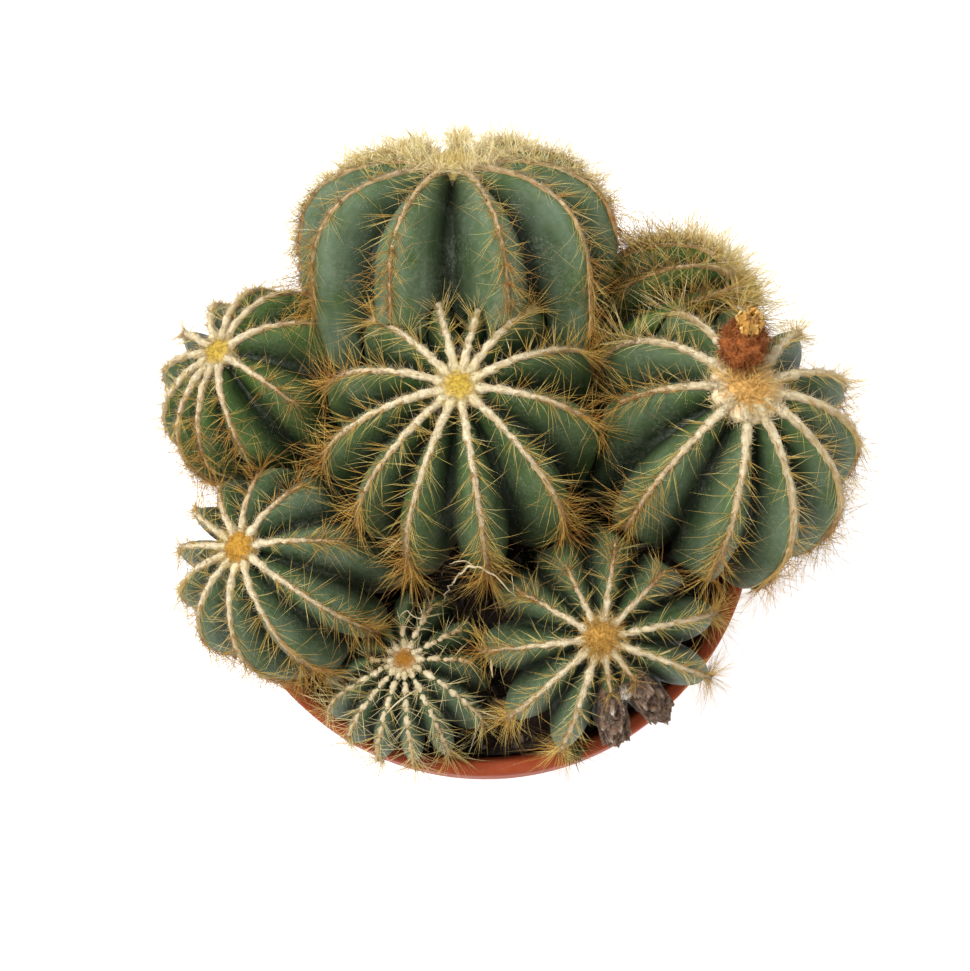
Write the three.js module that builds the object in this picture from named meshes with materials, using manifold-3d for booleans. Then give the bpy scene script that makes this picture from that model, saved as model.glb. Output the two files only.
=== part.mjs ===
// A clump of eight round ribbed cacti grown together in a terracotta-coloured pot.
//
// Millimetres, +Z up. The origin is the centre of the pot's flat underside, the pot's axis is Z, and -Y is
// the side that faces the viewer. Each head is a ribbed, slightly squared ball whose crown leans its own way.
// Neighbouring heads press flat against each other and against the pot's rim, with a hair's gap between.
// A narrow woolly felt runs down the crest of every rib from the crown, and the spines grow out of that felt.
import * as THREE from "three";
import { mergeVertices } from "three/addons/utils/BufferGeometryUtils.js";
import Module from "manifold-3d";

const wasm = await Module();
wasm.setup();

// Pot
const POT_HEIGHT = 104;
const RIM_RADIUS = 70; // outside of the rolled lip
const LIP_DEPTH = 15; // how far the lip's skirt comes down
const LIP_INNER_RADIUS = 65.5;
const SKIRT_OVERHANG = 3.5; // the wall under the lip is this much smaller in radius
const BASE_RADIUS = 49;
const WALL = 2.6;
const FLOOR = 3.2;
const POT_SIDES = 32;
const DRAIN_HOLES = 5;
const DRAIN_RADIUS = 3.6;
const DRAIN_CIRCLE = 31;

// Soil and the clearances between pieces
const SOIL_DROP = 12; // soil surface below the rim
const ROOT_DEPTH = 13; // how deep each stem's root end stands in its hole
const FIT = 0.35; // gap between touching pieces
const HEAD_GAP = 0.5; // half the gap between two heads that press on each other
const MOULD_GAP = 2.4; // gap round a head that another is moulded on, with room for its felt
const SEAT_SLACK = 1; // how far a skin sinks into what is then cut away from it

// Ribs, felt and spines
const GROOVE_DEPTH = 0.3; // share of a head's radius that the grooves are deep
const GROOVE_SHAPE = 1.8; // above 1 rounds the crest and keeps the groove a sharp crease
const RING_ANGLES = [14, 34, 57, 81, 105, 132]; // polar angles of a head's rings, crown to base
const CROWN_ANGLE = RING_ANGLES[0];
const CROWN_SHARE = 0.62; // how far towards that ring the crown felt reaches
const FELT_WIDTH = 2.6;
const FELT_HEIGHT = 1.6;
const FELT_END_ANGLE = 105;
const CORK_RINGS = RING_ANGLES.slice(1, 5); // the rings that a cork crust covers
const CORK_THICKNESS = [1, 2.6, 2.2, 1];
const SPINE_WIDTH = 0.72;
const SPINE_LENGTH = 11;
const SPINE_CLEARANCE = 0.6;

const RIM_Z = POT_HEIGHT;
const SOIL_Z = POT_HEIGHT - SOIL_DROP;

// The heads. centre is the middle of the ball; rise and fall are its half-heights towards the crown and
// away from it; square above 2 makes its shoulders boxier; lean and towards tip the crown, in degrees;
// foot is where its root enters the soil; firm says how little it gives way to a neighbour; ribs are the
// bearings of the rib crests round the axis, in degrees from +X.
const HEADS = [
  {
    name: "middle",
    centre: [-5, 8, RIM_Z + 44], radius: 34.5, rise: 29, fall: 50, square: 2.25,
    lean: 7, towards: 108, foot: [-5, 4], firm: 4, spine: 1,
    ribs: [27, 55, 78, 103, 133, 165, 195, 223, 247, 279, 314, 352],
  },
  {
    name: "back",
    centre: [-6.5, 51, RIM_Z + 36], radius: 40, rise: 29.5, fall: 26, square: 3.2,
    lean: 51, towards: 93, foot: [-7, 44], firm: 1, spine: 0.8,
    ribs: [27, 58, 88, 117, 146, 174, 209, 247, 288, 323, 355],
    mouldedOn: ["middle", "left"],
  },
  {
    name: "right",
    centre: [56.5, 6.5, RIM_Z + 34], radius: 34.5, rise: 30, fall: 38, square: 2.3,
    lean: 18, towards: 53, foot: [44, 4], firm: 3, spine: 1,
    ribs: [24, 55, 86, 117, 145, 183, 227, 266, 296, 326, 356],
  },
  {
    name: "far",
    centre: [45.5, 40.5, RIM_Z + 22], radius: 23.5, rise: 23.5, fall: 22, square: 2.3,
    lean: 70, towards: 22, foot: [37, 34], firm: 0.6, spine: 1.1,
    ribs: [25, 55, 85, 115, 145, 181, 208, 236, 266, 296, 326, 356],
    mouldedOn: ["right"],
  },
  {
    name: "left",
    centre: [-54.5, 22.8, RIM_Z + 25], radius: 26.5, rise: 23, fall: 34, square: 2.3,
    lean: 33, towards: 153, foot: [-46, 20], firm: 1.2, spine: 0.9,
    ribs: [15, 54, 78, 108, 138, 168, 199, 223, 246, 275, 318],
  },
  {
    name: "lower_left",
    centre: [-48, -21.5, RIM_Z + 24], radius: 27.5, rise: 24, fall: 33, square: 2.3,
    lean: 28, towards: 177, foot: [-40, -17], firm: 2, spine: 0.95,
    ribs: [1, 47, 83, 118, 144, 170, 196, 224, 257, 288, 321],
  },
  {
    name: "small",
    centre: [-19, -45.5, RIM_Z + 8], radius: 22, rise: 18, fall: 19, square: 2.3,
    lean: 4, towards: 130, foot: [-16, -40], firm: 1.5, spine: 0.75,
    ribs: [1, 31, 66, 92, 121, 152, 181, 205, 228, 250, 273, 297, 327],
  },
  {
    name: "lower_right",
    centre: [27.5, -38, RIM_Z + 21], radius: 29.5, rise: 24, fall: 30, square: 2.3,
    lean: 12, towards: 270, foot: [24, -33], firm: 3.5, spine: 0.9,
    ribs: [11, 46, 81, 116, 150, 187, 222, 252, 280, 309, 340],
    corkRibs: [8, 9],
    uneven: [[1, 1.1], [2, 1.14], [3, 1.12], [8, 0.86], [9, 0.82]],
  },
];

const COLOURS = {
  pot: { color: "#b9583c", roughness: 0.6 },
  soil: { color: "#2c221b", roughness: 1 },
  flesh: { color: "#4d7257", roughness: 0.55 },
  spines: { color: "#d2a95c", roughness: 0.75 },
  fruit: { color: "#9c4a34", roughness: 0.8 },
  flower: { color: "#c08f45", roughness: 0.9 },
  cork: { color: "#6e5a50", roughness: 0.95 },
};

const radians = THREE.MathUtils.degToRad;

// A repeatable random number from 0 to 1 for a seed.
function seeded(seed) {
  const s = Math.sin(seed * 127.1 + 311.7) * 43758.5453;
  return s - Math.floor(s);
}

// A closed geometry as a solid: only positions are kept, and shared corners are merged.
function solid(geometry) {
  const bare = new THREE.BufferGeometry();
  bare.setAttribute("position", geometry.getAttribute("position"));
  bare.setIndex(geometry.index);
  const merged = mergeVertices(bare, 1e-4);
  return new wasm.Manifold(new wasm.Mesh({
    numProp: 3,
    vertProperties: new Float32Array(merged.attributes.position.array),
    triVerts: new Uint32Array(merged.index.array),
  }));
}

// A solid back as a geometry that draws with flat faces.
function geometryOf(made) {
  const mesh = made.getMesh();
  const geometry = new THREE.BufferGeometry();
  geometry.setAttribute("position", new THREE.BufferAttribute(mesh.vertProperties.slice(), 3));
  geometry.setIndex(new THREE.BufferAttribute(mesh.triVerts.slice(), 1));
  const flat = geometry.toNonIndexed();
  flat.computeVertexNormals();
  return flat;
}

// A geometry from points and the triangles that index them.
function geometryFrom(points, triangles) {
  const geometry = new THREE.BufferGeometry();
  geometry.setAttribute("position", new THREE.Float32BufferAttribute(points.flatMap((p) => p.toArray()), 3));
  geometry.setIndex(triangles);
  return geometry;
}

// A solid of revolution about Z. The outline is [radius, height] pairs, anticlockwise.
function turned(outline, sides) {
  const points = outline.map(([r, z]) => new THREE.Vector2(r, z));
  return solid(new THREE.LatheGeometry(points, sides).rotateX(Math.PI / 2));
}

// A straight tapered rod between two points.
function rod(start, end, startRadius, endRadius, sides) {
  const axis = end.clone().sub(start);
  const geometry = new THREE.CylinderGeometry(endRadius, startRadius, axis.length(), sides);
  const turn = new THREE.Quaternion().setFromUnitVectors(new THREE.Vector3(0, 1, 0), axis.clone().normalize());
  geometry.applyQuaternion(turn);
  const middle = start.clone().add(end).multiplyScalar(0.5);
  return solid(geometry.translate(middle.x, middle.y, middle.z));
}

// A tube of cross-sections, each the same number of points, anticlockwise about the way the tube runs. It
// is closed at both ends by a fan from the first point.
function lofted(sections) {
  const sides = sections[0].length;
  const triangles = [];
  for (let k = 0; k + 1 < sections.length; k += 1) {
    for (let i = 0; i < sides; i += 1) {
      const a = k * sides + i;
      const b = k * sides + ((i + 1) % sides);
      triangles.push(a, b, b + sides, a, b + sides, a + sides);
    }
  }
  const last = (sections.length - 1) * sides;
  for (let i = 1; i + 1 < sides; i += 1) {
    triangles.push(0, i + 1, i, last, last + i, last + i + 1);
  }
  return solid(geometryFrom(sections.flat(), triangles));
}

function joined(solids) {
  return solids.reduce((sum, next) => sum.add(next));
}

// The biggest of a solid's separate bodies, where a cut has left scraps.
function largest(made) {
  return made.decompose().reduce((best, next) => (next.volume() > best.volume() ? next : best));
}

// The pot's wall, outside and inside, between its foot and the bottom of the lip's skirt.
function outerRadius(z) {
  const top = POT_HEIGHT - LIP_DEPTH;
  return BASE_RADIUS + (RIM_RADIUS - SKIRT_OVERHANG - BASE_RADIUS) * (z / top);
}

function innerRadius(z) {
  const share = (z - FLOOR) / (POT_HEIGHT - FLOOR);
  return BASE_RADIUS - WALL + (LIP_INNER_RADIUS - BASE_RADIUS + WALL) * share;
}

function makePot() {
  const skirt = POT_HEIGHT - LIP_DEPTH;
  const shell = turned([
    [0, 0],
    [BASE_RADIUS - 1.5, 0],
    [BASE_RADIUS, 1.5],
    [outerRadius(skirt), skirt],
    [RIM_RADIUS - 1.4, skirt + 0.6],
    [RIM_RADIUS - 0.4, POT_HEIGHT - 2],
    [RIM_RADIUS - 1.8, POT_HEIGHT],
    [LIP_INNER_RADIUS + 1.2, POT_HEIGHT],
    [innerRadius(POT_HEIGHT - 1.2), POT_HEIGHT - 1.2],
    [innerRadius(FLOOR), FLOOR],
    [0, FLOOR],
  ], POT_SIDES);
  let pot = shell;
  for (let i = 0; i < DRAIN_HOLES; i += 1) {
    const turn = (2 * Math.PI * i) / DRAIN_HOLES + 0.3;
    const place = new THREE.Vector3(Math.cos(turn), Math.sin(turn), 0).multiplyScalar(DRAIN_CIRCLE);
    const below = place.clone().setZ(-2);
    const above = place.clone().setZ(FLOOR + 2);
    pot = pot.subtract(rod(below, above, DRAIN_RADIUS, DRAIN_RADIUS, 12));
  }
  return pot;
}

// A head's own frame: its axis towards the crown, and two directions square to it.
function framed(head) {
  const lean = radians(head.lean);
  const towards = radians(head.towards);
  const axis = new THREE.Vector3(
    Math.sin(lean) * Math.cos(towards), Math.sin(lean) * Math.sin(towards), Math.cos(lean));
  const across = new THREE.Vector3(1, 0, 0);
  across.addScaledVector(axis, -across.dot(axis)).normalize();
  const along = axis.clone().cross(across);
  return { ...head, centre: new THREE.Vector3(...head.centre), axis, across, along, planes: [] };
}

const heads = HEADS.map(framed);

// How far a head's ball reaches in a direction.
function reach(head, direction) {
  const up = direction.dot(head.axis);
  const side = Math.sqrt(Math.max(0, 1 - up * up));
  return Math.hypot(head.radius * side, (up > 0 ? head.rise : head.fall) * up);
}

// Two heads that only touch are parted by a flat plane, nearer to the softer one. Where a head is moulded
// on a firmer one, it is hollowed to fit round that one's ribs instead.
for (const head of heads) {
  head.firmer = heads.filter((other) => head.mouldedOn?.includes(other.name));
  head.softer = heads.filter((other) => other.mouldedOn?.includes(head.name));
  for (const other of heads) {
    if (other === head || head.firmer.includes(other) || head.softer.includes(other)) continue;
    const toOther = other.centre.clone().sub(head.centre);
    const distance = toOther.length();
    const normal = toOther.divideScalar(distance);
    const own = reach(head, normal);
    const spare = distance - own - reach(other, normal.clone().negate());
    const share = spare > 0 ? 0.5 : other.firm / (head.firm + other.firm);
    head.planes.push({ normal, distance: own + share * spare - HEAD_GAP });
  }
}

// The lowest height free of the pot at a distance from its axis: over the lip, sagging a little outside
// it, and following the wall down inside it.
function lipHeight(radius) {
  const outside = Math.max(0, radius - RIM_RADIUS - 0.3);
  const inside = Math.max(0, LIP_INNER_RADIUS - 0.3 - radius);
  return RIM_Z + FIT - 0.6 * outside - 3 * inside;
}

// Where round a head a bearing falls between a crest (0) and the middle of the next groove (1).
function grooveShare(head, bearing) {
  const turn = ((THREE.MathUtils.radToDeg(bearing) % 360) + 360) % 360;
  const count = head.ribs.length;
  for (let i = 0; i < count; i += 1) {
    const here = head.ribs[i];
    const gap = (head.ribs[(i + 1) % count] - here + 360) % 360;
    const past = (turn - here + 360) % 360;
    if (past <= gap) return 1 - Math.abs(1 - (2 * past) / gap);
  }
  return 0;
}

// How far the rib at a bearing reaches, as a share of the even ball's reach: some are stunted or stretched.
function ribGrowth(head, bearing) {
  const turn = THREE.MathUtils.radToDeg(bearing);
  return (head.uneven ?? []).reduce((growth, [rib, share]) => {
    const offset = ((turn - head.ribs[rib] + 900) % 360) - 180;
    return growth * (1 + (share - 1) * Math.exp(-((offset / 17) ** 2)));
  }, 1);
}

// The ball's reach at a polar angle, before grooves: a superellipse with a dimple at the crown.
function ballReach(head, polar) {
  const half = Math.cos(polar) > 0 ? head.rise : head.fall;
  const across = Math.abs(Math.sin(polar)) / head.radius;
  const along = Math.abs(Math.cos(polar)) / half;
  const full = (across ** head.square + along ** head.square) ** (-1 / head.square);
  return full * (1 - 0.09 * Math.exp(-((polar / radians(14)) ** 2)));
}

// The reach of the ribbed ball before anything presses on it.
function freeReach(head, polar, bearing, share) {
  const outward = 1 - Math.exp(-polar / radians(18));
  const groove = 1 - GROOVE_DEPTH * outward * share ** GROOVE_SHAPE;
  const growth = 1 - (1 - ribGrowth(head, bearing)) * Math.min(1, polar / radians(70)) ** 2;
  return ballReach(head, polar) * groove * growth;
}

// A direction from the head's centre, by polar angle from the crown and bearing round the axis.
function pointing(head, polar, bearing) {
  return new THREE.Vector3()
    .addScaledVector(head.across, Math.sin(polar) * Math.cos(bearing))
    .addScaledVector(head.along, Math.sin(polar) * Math.sin(bearing))
    .addScaledVector(head.axis, Math.cos(polar));
}

// The free reach cut down smoothly to the planes between heads.
function betweenPlanes(head, direction, free) {
  const sharpness = 1.2;
  let sum = Math.exp(-sharpness * free);
  for (const { normal, distance } of head.planes) {
    const towards = normal.dot(direction);
    if (towards > 0.02) sum += Math.exp((-sharpness * distance) / towards);
  }
  return -Math.log(sum) / sharpness;
}

// True where a point lies in a head, swollen by a margin.
function inside(head, point, margin) {
  const away = point.clone().sub(head.centre);
  const distance = away.length();
  if (distance > 1.6 * head.radius + margin) return false;
  const direction = away.divideScalar(distance);
  const polar = Math.acos(THREE.MathUtils.clamp(direction.dot(head.axis), -1, 1));
  const bearing = Math.atan2(direction.dot(head.along), direction.dot(head.across));
  const free = freeReach(head, polar, bearing, grooveShare(head, bearing));
  return distance < betweenPlanes(head, direction, free) + margin;
}

// True where a head's skin can't go: in the soil, in the pot's lip or in the head that it is moulded on.
// A positive slack lets it sink that far into the last two, and a negative one keeps it off them.
function blocked(head, point, slack) {
  if (point.z < SOIL_Z + FIT - Math.min(0, slack)) return true;
  if (point.z < lipHeight(Math.hypot(point.x, point.y)) - slack) return true;
  return head.firmer.some((other) => inside(other, point, MOULD_GAP - slack));
}

// A point of a head's skin. share says how far it lies from crest (0) to groove (1). The skin sinks a
// little into the lip and the firmer head, so that cutting those away leaves clean seats.
function skinPoint(head, polar, bearing, share, lift = 0) {
  const direction = pointing(head, polar, bearing);
  const at = (d) => head.centre.clone().addScaledVector(direction, d);
  const free = betweenPlanes(head, direction, freeReach(head, polar, bearing, share));
  let open = 0;
  while (open < free && !blocked(head, at(open), SEAT_SLACK)) open += 1.5;
  if (open >= free && !blocked(head, at(free), SEAT_SLACK)) return at(free + lift);
  let low = Math.max(0, open - 1.5);
  let high = Math.min(open, free);
  for (let k = 0; k < 14; k += 1) {
    const half = (low + high) / 2;
    if (blocked(head, at(half), SEAT_SLACK)) high = half;
    else low = half;
  }
  return at(low + lift);
}

// The corners round a head: a crest, a flank, a groove and a flank for each rib.
function columnsOf(head) {
  return head.ribs.flatMap((here, i) => {
    const gap = (head.ribs[(i + 1) % head.ribs.length] - here + 360) % 360;
    return [0, 1, 2, 3].map((quarter) => (
      { bearing: radians(here + (gap * quarter) / 4), share: 1 - Math.abs(1 - quarter / 2) }));
  });
}

function rootRadius(head) {
  return 0.3 * head.radius;
}

// A head's ribbed ball, drawn in underneath to a plain root end that stands in the soil. A lift swells it.
function ribbedBody(head, lift) {
  const columns = columnsOf(head);
  const width = columns.length;
  const ribs = head.ribs.length;
  const points = [skinPoint(head, 0, 0, 0, lift)];
  for (const ring of RING_ANGLES) {
    for (const { bearing, share } of columns) {
      points.push(skinPoint(head, radians(ring), bearing, share, lift));
    }
  }
  const upright = new THREE.Quaternion().setFromUnitVectors(head.axis, new THREE.Vector3(0, 0, 1));
  const foot = new THREE.Vector3(...head.foot);
  for (const [z, share] of [[SOIL_Z + 1, 1], [SOIL_Z - ROOT_DEPTH, 0.8]]) {
    for (let i = 0; i < width; i += 4) {
      const spoke = pointing(head, Math.PI / 2, columns[i].bearing).applyQuaternion(upright);
      points.push(foot.clone().setZ(z).addScaledVector(spoke, rootRadius(head) * share + lift));
    }
  }
  const triangles = [];
  for (let i = 0; i < width; i += 1) {
    const next = (i + 1) % width;
    triangles.push(0, 1 + i, 1 + next);
    for (let k = 0; k + 1 < RING_ANGLES.length; k += 1) {
      const a = 1 + k * width;
      triangles.push(a + i, a + width + i, a + width + next, a + i, a + width + next, a + next);
    }
  }
  const last = 1 + (RING_ANGLES.length - 1) * width;
  const collar = last + width;
  for (let rib = 0; rib < ribs; rib += 1) {
    const here = collar + rib;
    const beyond = collar + ((rib + 1) % ribs);
    const at = (step) => last + ((4 * rib + step) % width);
    triangles.push(at(0), here, at(1), at(1), here, at(2), at(2), here, beyond);
    triangles.push(at(2), beyond, at(3), at(3), beyond, at(4));
    triangles.push(here, here + ribs, beyond + ribs, here, beyond + ribs, beyond);
    if (rib > 0 && rib + 1 < ribs) triangles.push(collar + ribs, beyond + ribs, here + ribs);
  }
  return solid(geometryFrom(points, triangles));
}

// A head's flesh: its ribbed body, seated on the lip and moulded on the firmer head behind which it lies.
function makeFlesh(head) {
  const moulds = head.firmer.map((other) => ribbedBody(other, MOULD_GAP));
  const seated = [lipSurround, ...moulds].reduce((left, next) => left.subtract(next), ribbedBody(head, 0));
  return largest(seated).simplify(0.03);
}

// What the heads must keep out of: the pot's lip with the fitting gap round it.
const lipSurround = turned([
  [innerRadius(RIM_Z - 20) - FIT, RIM_Z - 20],
  [RIM_RADIUS + FIT, RIM_Z - 20],
  [RIM_RADIUS + FIT, RIM_Z - 2],
  [RIM_RADIUS - 1.2, RIM_Z + FIT],
  [LIP_INNER_RADIUS + 0.6, RIM_Z + FIT],
  [innerRadius(RIM_Z - 1.2) - FIT, RIM_Z - 1.2],
  [innerRadius(RIM_Z - 20) - FIT, RIM_Z - 20],
], POT_SIDES);

// The soil fills the pot up to a low mound, with a plain hole for each root.
function makeSoil() {
  const bottom = FLOOR + FIT;
  let soil = turned([
    [0, bottom],
    [innerRadius(bottom) - FIT, bottom],
    [innerRadius(SOIL_Z - 1.5) - FIT, SOIL_Z - 1.5],
    [innerRadius(SOIL_Z) - 4, SOIL_Z],
    [0, SOIL_Z],
  ], POT_SIDES);
  for (const head of heads) {
    const [x, y] = head.foot;
    const size = rootRadius(head) + 2 * FIT;
    const bottomOfHole = new THREE.Vector3(x, y, SOIL_Z - ROOT_DEPTH - 1);
    soil = soil.subtract(rod(bottomOfHole, new THREE.Vector3(x, y, SOIL_Z + 5), size, size, 14));
  }
  return soil;
}

// True where a layer of a given height on the skin stays on its own side of every plane and off the rest.
function roomAbove(head, point, out, height) {
  const top = point.clone().addScaledVector(out, height);
  const away = top.clone().sub(head.centre);
  return !blocked(head, top, 0) && head.planes.every(({ normal, distance }) => normal.dot(away) < distance + 0.2);
}

// The crest of one rib as points with their outward direction, from inside the crown felt outwards. It
// stops where the rib presses on something, and there is none where it does so from the start.
function crest(head, rib, endAngle) {
  const bearing = radians(head.ribs[rib]);
  const layer = FELT_HEIGHT + 2 * FIT;
  const corner = (angle) => (
    { point: skinPoint(head, radians(angle), bearing, 0), out: pointing(head, radians(angle), bearing) });
  const between = (from, to, share) => (
    { point: from.point.clone().lerp(to.point, share), out: from.out.clone().lerp(to.out, share).normalize() });
  const corners = RING_ANGLES.filter((angle) => angle <= endAngle).map(corner);
  const pressed = corners.findIndex(({ point, out }) => !roomAbove(head, point, out, layer));
  const path = pressed < 0 ? corners : corners.slice(0, pressed);
  if (path.length < 2) return null;
  if (pressed > 0) {
    const shares = head.mouldedOn ? [0.5, 0.3] : [0.9, 0.75, 0.6, 0.45, 0.3];
    const ends = shares.map((share) => between(corners[pressed - 1], corners[pressed], share));
    const end = ends.find(({ point, out }) => roomAbove(head, point, out, layer));
    if (end) path.push(end);
  }
  const top = { point: skinPoint(head, 0, 0, 0), out: head.axis };
  return [between(top, path[0], CROWN_SHARE * 0.85), ...path];
}

function sideways(path, k) {
  const before = path[Math.max(0, k - 1)].point;
  const after = path[Math.min(path.length - 1, k + 1)].point;
  return after.clone().sub(before).cross(path[k].out).normalize();
}

// How wide and high the felt is along a crest, as a share of its most: full near the crown, less at the end.
function feltTaper(k, path) {
  return k < 1 ? 0.7 + 0.3 * k : 1 - (0.35 * k) / (path.length - 1);
}

// The felt along one crest: a low three-sided ridge that narrows towards its end.
function feltStrip(path) {
  const sections = path.map(({ point, out }, k) => {
    const taper = feltTaper(k, path);
    const side = sideways(path, k).multiplyScalar((FELT_WIDTH / 2) * taper);
    const bed = point.clone().addScaledVector(out, FIT);
    return [bed.clone().sub(side), bed.clone().addScaledVector(out, FELT_HEIGHT * taper), bed.clone().add(side)];
  });
  return lofted(sections);
}

// The felt over the crown: a low dome on a ring of points, one on each crest.
function crownFelt(head) {
  const top = skinPoint(head, 0, 0, 0);
  const ring = head.ribs.map((rib) => (
    top.clone().lerp(skinPoint(head, radians(CROWN_ANGLE), radians(rib), 0), CROWN_SHARE)));
  const lifted = (point, by) => point.clone().addScaledVector(head.axis, by);
  const under = [lifted(top, FIT), ...ring.map((p) => lifted(p, FIT))];
  const over = [lifted(top, FIT + 2.4), ...ring.map((p) => lifted(p, FIT + FELT_HEIGHT * 0.8))];
  const count = ring.length;
  const shift = count + 1;
  const triangles = [];
  for (let i = 0; i < count; i += 1) {
    const a = 1 + i;
    const b = 1 + ((i + 1) % count);
    triangles.push(0, b, a, shift, shift + a, shift + b, a, b, b + shift, a, b + shift, a + shift);
  }
  return solid(geometryFrom([...under, ...over], triangles));
}

// True where a point is clear of the head's own flesh, of its neighbours, the pot and the soil.
function clearFor(head, point) {
  const away = point.clone().sub(head.centre);
  if (inside(head, point, SPINE_CLEARANCE) || blocked(head, point, -SPINE_CLEARANCE)) return false;
  if (head.planes.some(({ normal, distance }) => normal.dot(away) > distance - 0.2)) return false;
  return !head.softer.some((other) => inside(other, point, MOULD_GAP + SPINE_CLEARANCE));
}

// One three-sided spine, rooted inside the felt. It is left out where it would touch anything.
function spine(head, base, direction, length) {
  const root = base.clone().addScaledVector(direction, -0.25);
  const tip = base.clone().addScaledVector(direction, length);
  const samples = [0.35, 0.6, 0.8, 1].map((share) => base.clone().lerp(tip, share));
  if (!samples.every((point) => clearFor(head, point))) return null;
  if (keepClear.some(({ centre, radius }) => samples.some((p) => p.distanceTo(centre) < radius))) return null;
  const side = new THREE.Vector3(0.3, 0.5, 0.8).cross(direction).normalize();
  const other = side.clone().cross(direction);
  const corners = [0, 1, 2].map((i) => {
    const turn = (2 * Math.PI * i) / 3;
    return root.clone()
      .addScaledVector(side, Math.cos(turn) * SPINE_WIDTH * 0.5)
      .addScaledVector(other, Math.sin(turn) * SPINE_WIDTH * 0.5);
  });
  return solid(geometryFrom([...corners, tip], [0, 1, 2, 0, 3, 1, 1, 3, 2, 2, 3, 0]));
}

// The spines of one crest: they lean out of the felt's two flanks by turns, fanning over the grooves.
function crestSpines(head, rib, path) {
  const made = [];
  const length = SPINE_LENGTH * head.spine;
  for (let k = 1; k < path.length; k += 1) {
    const from = path[k - 1];
    const to = path[k];
    const between = 0.3 + 0.4 * seeded(rib * 5 + k);
    const out = from.out.clone().lerp(to.out, between).normalize();
    const along = to.point.clone().sub(from.point).normalize();
    const hand = (k + rib) % 2 ? 1 : -1;
    const side = along.clone().cross(out).normalize().multiplyScalar(hand);
    const taper = feltTaper(k - 1 + between, path);
    const base = from.point.clone().lerp(to.point, between)
      .addScaledVector(out, FIT + FELT_HEIGHT * taper * 0.5)
      .addScaledVector(side, FELT_WIDTH * taper * 0.25);
    const seed = head.ribs[rib] * 7 + k * 3;
    const direction = out
      .addScaledVector(side, 0.45 + 0.4 * seeded(seed))
      .addScaledVector(along, 0.8 * (seeded(seed + 1) - 0.5))
      .normalize();
    const needle = spine(head, base, direction, length * (0.85 + 0.3 * seeded(seed + 2)));
    if (needle) made.push(needle);
  }
  return made;
}

// A loose tuft of short upright spines in the crown felt.
function crownSpines(head) {
  const count = 6;
  const top = skinPoint(head, 0, 0, 0).addScaledVector(head.axis, FIT + 1.6);
  const made = [];
  for (let i = 0; i < count; i += 1) {
    const bearing = (2 * Math.PI * i) / count + 0.4;
    const tilt = 0.25 + 0.2 * seeded(i + head.radius);
    const base = top.clone().addScaledVector(pointing(head, Math.PI / 2, bearing), 1.4);
    const needle = spine(head, base, pointing(head, tilt, bearing), 7 * head.spine);
    if (needle) made.push(needle);
  }
  return made;
}

function makeFeltAndSpines(head) {
  const pieces = [crownFelt(head), ...crownSpines(head)];
  head.ribs.forEach((_, rib) => {
    const corky = head.corkRibs?.includes(rib);
    const path = crest(head, rib, corky ? CORK_RINGS[0] - 1 : FELT_END_ANGLE);
    if (path) pieces.push(feltStrip(path), ...crestSpines(head, rib, path));
  });
  const felt = joined(pieces);
  const trimmed = head.mouldedOn ? felt.subtract(ribbedBody(head, FIT / 2)) : felt;
  return largest(trimmed.simplify(0.03));
}

// The dried fruit that stands at the edge of the right head's crown, with the withered flower on top.
const FRUIT_POLAR = 12;
const FRUIT_BEARING = 115;
const FRUIT_RADIUS = 5.4;
const FRUIT_LENGTH = 12;
const FLOWER_RADIUS = 3.4;
const FLOWER_LENGTH = 6.5;
const rightHead = heads.find((head) => head.name === "right");
const fruitAxis = pointing(rightHead, radians(14), radians(100));
const fruitSeat = skinPoint(rightHead, radians(FRUIT_POLAR), radians(FRUIT_BEARING), 0)
  .addScaledVector(fruitAxis, FELT_HEIGHT + 2.5 * FIT);
const keepClear = [
  { centre: fruitSeat.clone().addScaledVector(fruitAxis, FRUIT_LENGTH * 0.5), radius: FRUIT_RADIUS + 2.6 },
  { centre: fruitSeat.clone().addScaledVector(fruitAxis, FRUIT_LENGTH + 3), radius: FLOWER_RADIUS + 2 },
];

// A lumpy solid turned about an axis: the outline is [radius, distance along] pairs.
function lumpy(start, axis, outline, sides, roughness, seed) {
  const side = new THREE.Vector3(1, 0, 0).cross(axis).normalize();
  const other = axis.clone().cross(side);
  const sections = outline.map(([radius, along], k) => {
    const ring = [];
    for (let i = 0; i < sides; i += 1) {
      const turn = (2 * Math.PI * i) / sides;
      const size = radius * (1 + roughness * (seeded(seed + 13 * k + i) - 0.5));
      ring.push(start.clone()
        .addScaledVector(axis, along)
        .addScaledVector(side, size * Math.cos(turn))
        .addScaledVector(other, size * Math.sin(turn)));
    }
    return ring;
  });
  return lofted(sections);
}

function makeFruit() {
  const outline = [[0.35, 0], [0.82, 0.2], [1, 0.48], [0.86, 0.78], [0.5, 1]]
    .map(([r, along]) => [r * FRUIT_RADIUS, along * FRUIT_LENGTH]);
  return lumpy(fruitSeat, fruitAxis, outline, 10, 0.1, 3);
}

function makeFlower() {
  const start = fruitSeat.clone().addScaledVector(fruitAxis, FRUIT_LENGTH + FIT);
  const outline = [[0.55, 0], [0.95, 0.3], [1, 0.7], [0.7, 1]]
    .map(([r, along]) => [r * FLOWER_RADIUS, along * FLOWER_LENGTH]);
  return lumpy(start, fruitAxis, outline, 9, 0.34, 17);
}

// A rough crust of cork over the outer end of a rib. It straddles the crest from flank to flank.

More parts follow.
